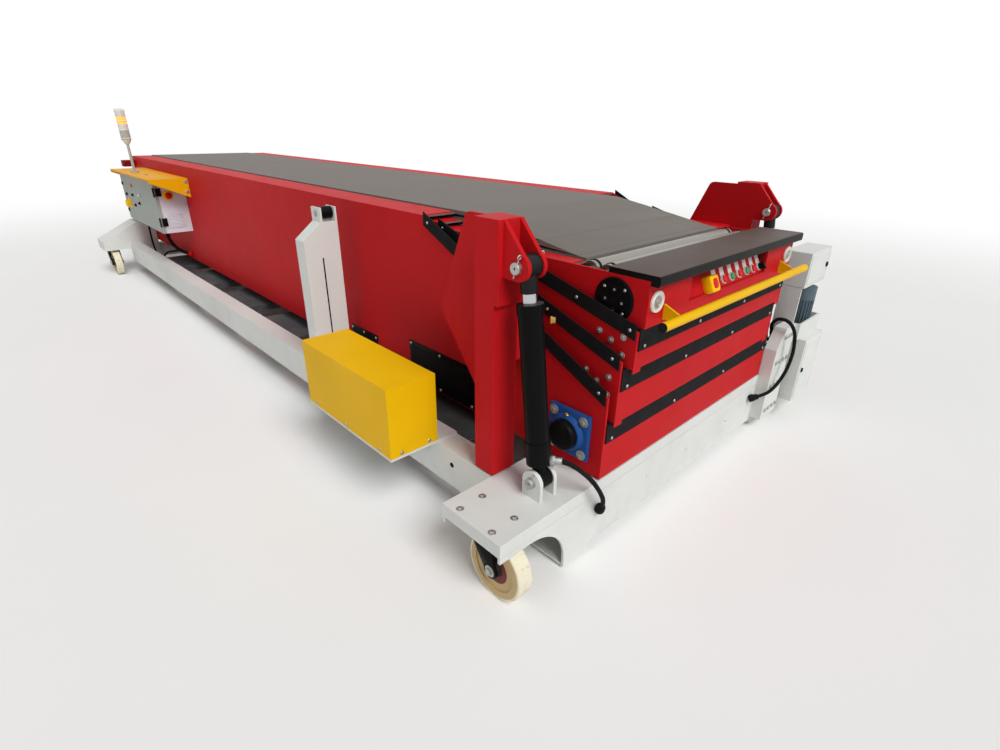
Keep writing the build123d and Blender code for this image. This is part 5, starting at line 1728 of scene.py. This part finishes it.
@dataclass
class HeadTrim(Trim):
    """Lamps, control panel, side covers and roller rings of the head stage."""

    nose: float = 2.439
    lamp_y: float = 0.434
    lamp_z: float = 0.7809
    tilt: float = 24.0
    panel: tuple[float, float] = (2.41408, 0.78395)
    panel_half: float = 0.2555
    panel_z: tuple[float, float] = (0.7462, 0.8218)
    panel_back: float = 0.056
    cheek_back: float = 0.045
    panel_front: float = 0.0082
    cheek: float = 0.006
    row: float = -0.0205
    tag_row: float = 0.0085
    stop_y: float = -0.126
    stop_tag: float = 0.052
    buttons: tuple[tuple[float, str], ...] = (
        (-0.022, "red"), (0.032, "green"), (0.085, "red"), (0.138, "green"), (0.188, "red"))
    selector_y: float = 0.236
    selector_turn: float = 35.0
    cover: tuple[float, float] = (2.335, 0.770)
    cover_y: float = 0.477
    shaded_cover_recesses: Spots = ((0.0, 0.029), (-0.027, 0.0), (0.027, -0.004), (0.0, -0.030))
    cover_screw_at: float = 0.046
    rollers: tuple[tuple[str, float], ...] = (("rear", 2.209), ("front", 2.267))
    roller_z: float = 0.820
    ring_y: float = 0.398

    def build(self) -> None:
        """Adds the trim of the head."""
        self._lamps()
        self._panel()
        self._buttons()
        self._covers()
        for name, x in self.rollers:
            ring = self.bench.shaped("ring_master", Profile.RING)
            places = both_sides(self.ring_y, [(x, self.roller_z)])
            self.bench.deal(f"{name}_roller_rings", ring, places, BLACK_RUBBER, f"{name}_transfer_roller")

    def _lamps(self) -> None:
        """Adds the round lamps: a pale rim and ribs round a bright dome."""
        places = along_x(self.nose, [(side * self.lamp_y, self.lamp_z) for _, side in SIDES])
        rim = self.bench.shaped("rim_master", Profile.RIM)
        rims = self.bench.deal("lamp_rims", rim, places, PALE_PLASTIC, "head", 30.0)
        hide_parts("head_lamps")
        dome = self.bench.shaped("dome_master", Profile.DOME)
        self.bench.deal("lamp_domes", dome, places, ZINC, "head", 40.0)

    def _on_panel(self, y: float, up: float) -> Matrix:
        """Places a shape on the slanted panel, beside and above its middle.

        Args:
            y: how far left of the middle it stands.
            up: how far up the slope.
        Returns:
            The placement.
        """
        turn = radians(self.tilt)
        point = (self.panel[0] - up * sin(turn), y, self.panel[1] + up * cos(turn))
        return facing(point, (cos(turn), 0.0, sin(turn)))

    def _panel(self) -> None:
        """Adds the slanted panel with its cheeks, which are painted in the darker red as painted shade."""
        half, (low, high) = self.panel_half, self.panel_z
        slant, middle = (high - low) * tan(radians(self.tilt)), (low + high) / 2
        front, back, top = self.nose - self.panel_front, self.nose - self.cheek_back, high + self.cheek
        sheet = self.bench.block("panel_sheet", (self.nose - self.panel_back, -half, low),
                                 (front, half, high), 0.0006)
        self.bench.nudge(sheet, lambda point: point.x > self.nose - 0.03 and point.z > middle, (-slant, 0.0, 0.0))
        cheeks = [self.bench.block(f"cheek_{name}", (back, side * half, low - self.cheek),
                                   (front, side * (half + self.cheek), top), 0.0006) for name, side in SIDES]
        cheeks.append(self.bench.block("cheek_top", (back, -half, high + HAIR), (front, half, top), 0.0006))
        self.bench.hand_over(sheet, RED_PAINT, "head")
        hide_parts("control_panel")
        # The cheeks take the darker copy of the red: painted shade at the panel's ends.
        self.bench.hand_over(self.bench.fuse("panel_cheeks", cheeks), SHADED_RED_PAINT, "head")

    def _buttons(self) -> None:
        """Adds the guarded stop button, the push buttons, the selector and their blank tags."""
        stop = self._on_panel(self.stop_y, self.row)
        shroud = self.bench.block("panel_guard", (-0.026, -0.026, -0.006), (0.026, 0.026, 0.030), 0.008)
        shroud = self.bench.place(self.bench.recess(shroud, (0, 0, 1), 0.0045, 0.012), stop)
        self.bench.hand_over(shroud, YELLOW_PLASTIC, "head")
        cap = self.bench.shaped("panel_stop", Profile.PANEL_STOP)
        self.bench.hand_over(self.bench.place(cap, stop), RED_PLASTIC, "head", 50.0)
        across = [*(y for y, _ in self.buttons), self.selector_y]
        spots = [self._on_panel(y, self.row) for y in across]
        rim = self.bench.shaped("button_rim", Profile.BUTTON_RIM)
        self.bench.deal("button_rims", rim, spots, PALE_PLASTIC, "head")
        for colour, finish in (("red", RED_PLASTIC), ("green", GREEN_PLASTIC)):
            head = self.bench.shaped("button_head", Profile.BUTTON_HEAD)
            places = [spot for spot, (_, tone) in zip(spots, self.buttons) if tone == colour]
            self.bench.deal(f"{colour}_buttons", head, places, finish, "head")
        drum = self.bench.shaped("selector_drum", Profile.SELECTOR_DRUM)
        grip = self.bench.block("selector_grip", (-0.0040, -0.0150, 0.008), (0.0040, 0.0110, 0.024), 0.002)
        turn = Matrix.Rotation(radians(self.selector_turn), 4, "Z")
        selector = self.bench.place(self.bench.fuse("selector", (drum, grip)), spots[-1] @ turn)
        self.bench.hand_over(selector, BLACK_PLASTIC, "head")
        tag = self.bench.block("tag_master", (-0.0175, -0.0125, -0.0004), (0.0175, 0.0125, 0.0012), 0.0004)
        quarter = Matrix.Rotation(pi / 2, 4, "Z")
        places = [self._on_panel(y, self.tag_row) @ quarter for y in (self.stop_y + self.stop_tag, *across)]
        self.bench.deal("blank_tags", tag, places, WHITE_PLASTIC, "head")

    def _covers(self) -> None:
        """Adds the rim and screws of the side covers, and black rings round studs as painted shade of their recessed
        holes.
        """
        x, z = self.cover
        rim = self.bench.shaped("cover_master", Profile.COVER)
        self.bench.deal("cover_rims", rim, both_sides(self.cover_y, [self.cover]), BLACK_PLASTIC, "head")
        recess_spots = both_sides(self.cover_y, [(x + dx, z + dz) for dx, dz in self.shaded_cover_recesses])
        # Black rings round the studs: painted shade in place of the dark of recessed holes.
        plug = self.bench.shaped("shaded_recess_master", Profile.SHADED_RECESS)
        self.bench.deal("shaded_cover_recesses", plug, recess_spots, BLACK_PLASTIC, "head")
        self.bench.deal("cover_studs", self.bench.screw(0.0046), recess_spots, ZINC, "head")
        shares = [share * self.cover_screw_at for share in (-0.7071, 0.7071)]
        screws = both_sides(self.cover_y, [(x + dx, z + dz) for dx in shares for dz in shares])
        self.bench.deal("cover_screws", self.bench.screw(0.0045), screws, ZINC, "head")


TRIMS = (SectionTrim, BeltTrim, BoomTrim, LiftTrim, ChassisTrim, CasterTrim, ControlTrim, SignalTrim, HeadTrim)


def main() -> None:
    """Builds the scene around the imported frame."""
    logging.basicConfig(level=logging.INFO, format="%(name)s: %(message)s")
    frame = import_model()
    bpy.ops.object.select_all(action="DESELECT")
    finishes = Finishes()
    PhotoCamera().build()
    Cords().build(finishes)
    Studio().build(finishes)
    Coats(frame["nodes"]).build(finishes)
    bench = Bench(finishes)
    for trim in TRIMS:
        trim(bench).build()


if __name__ == "__main__":
    main()
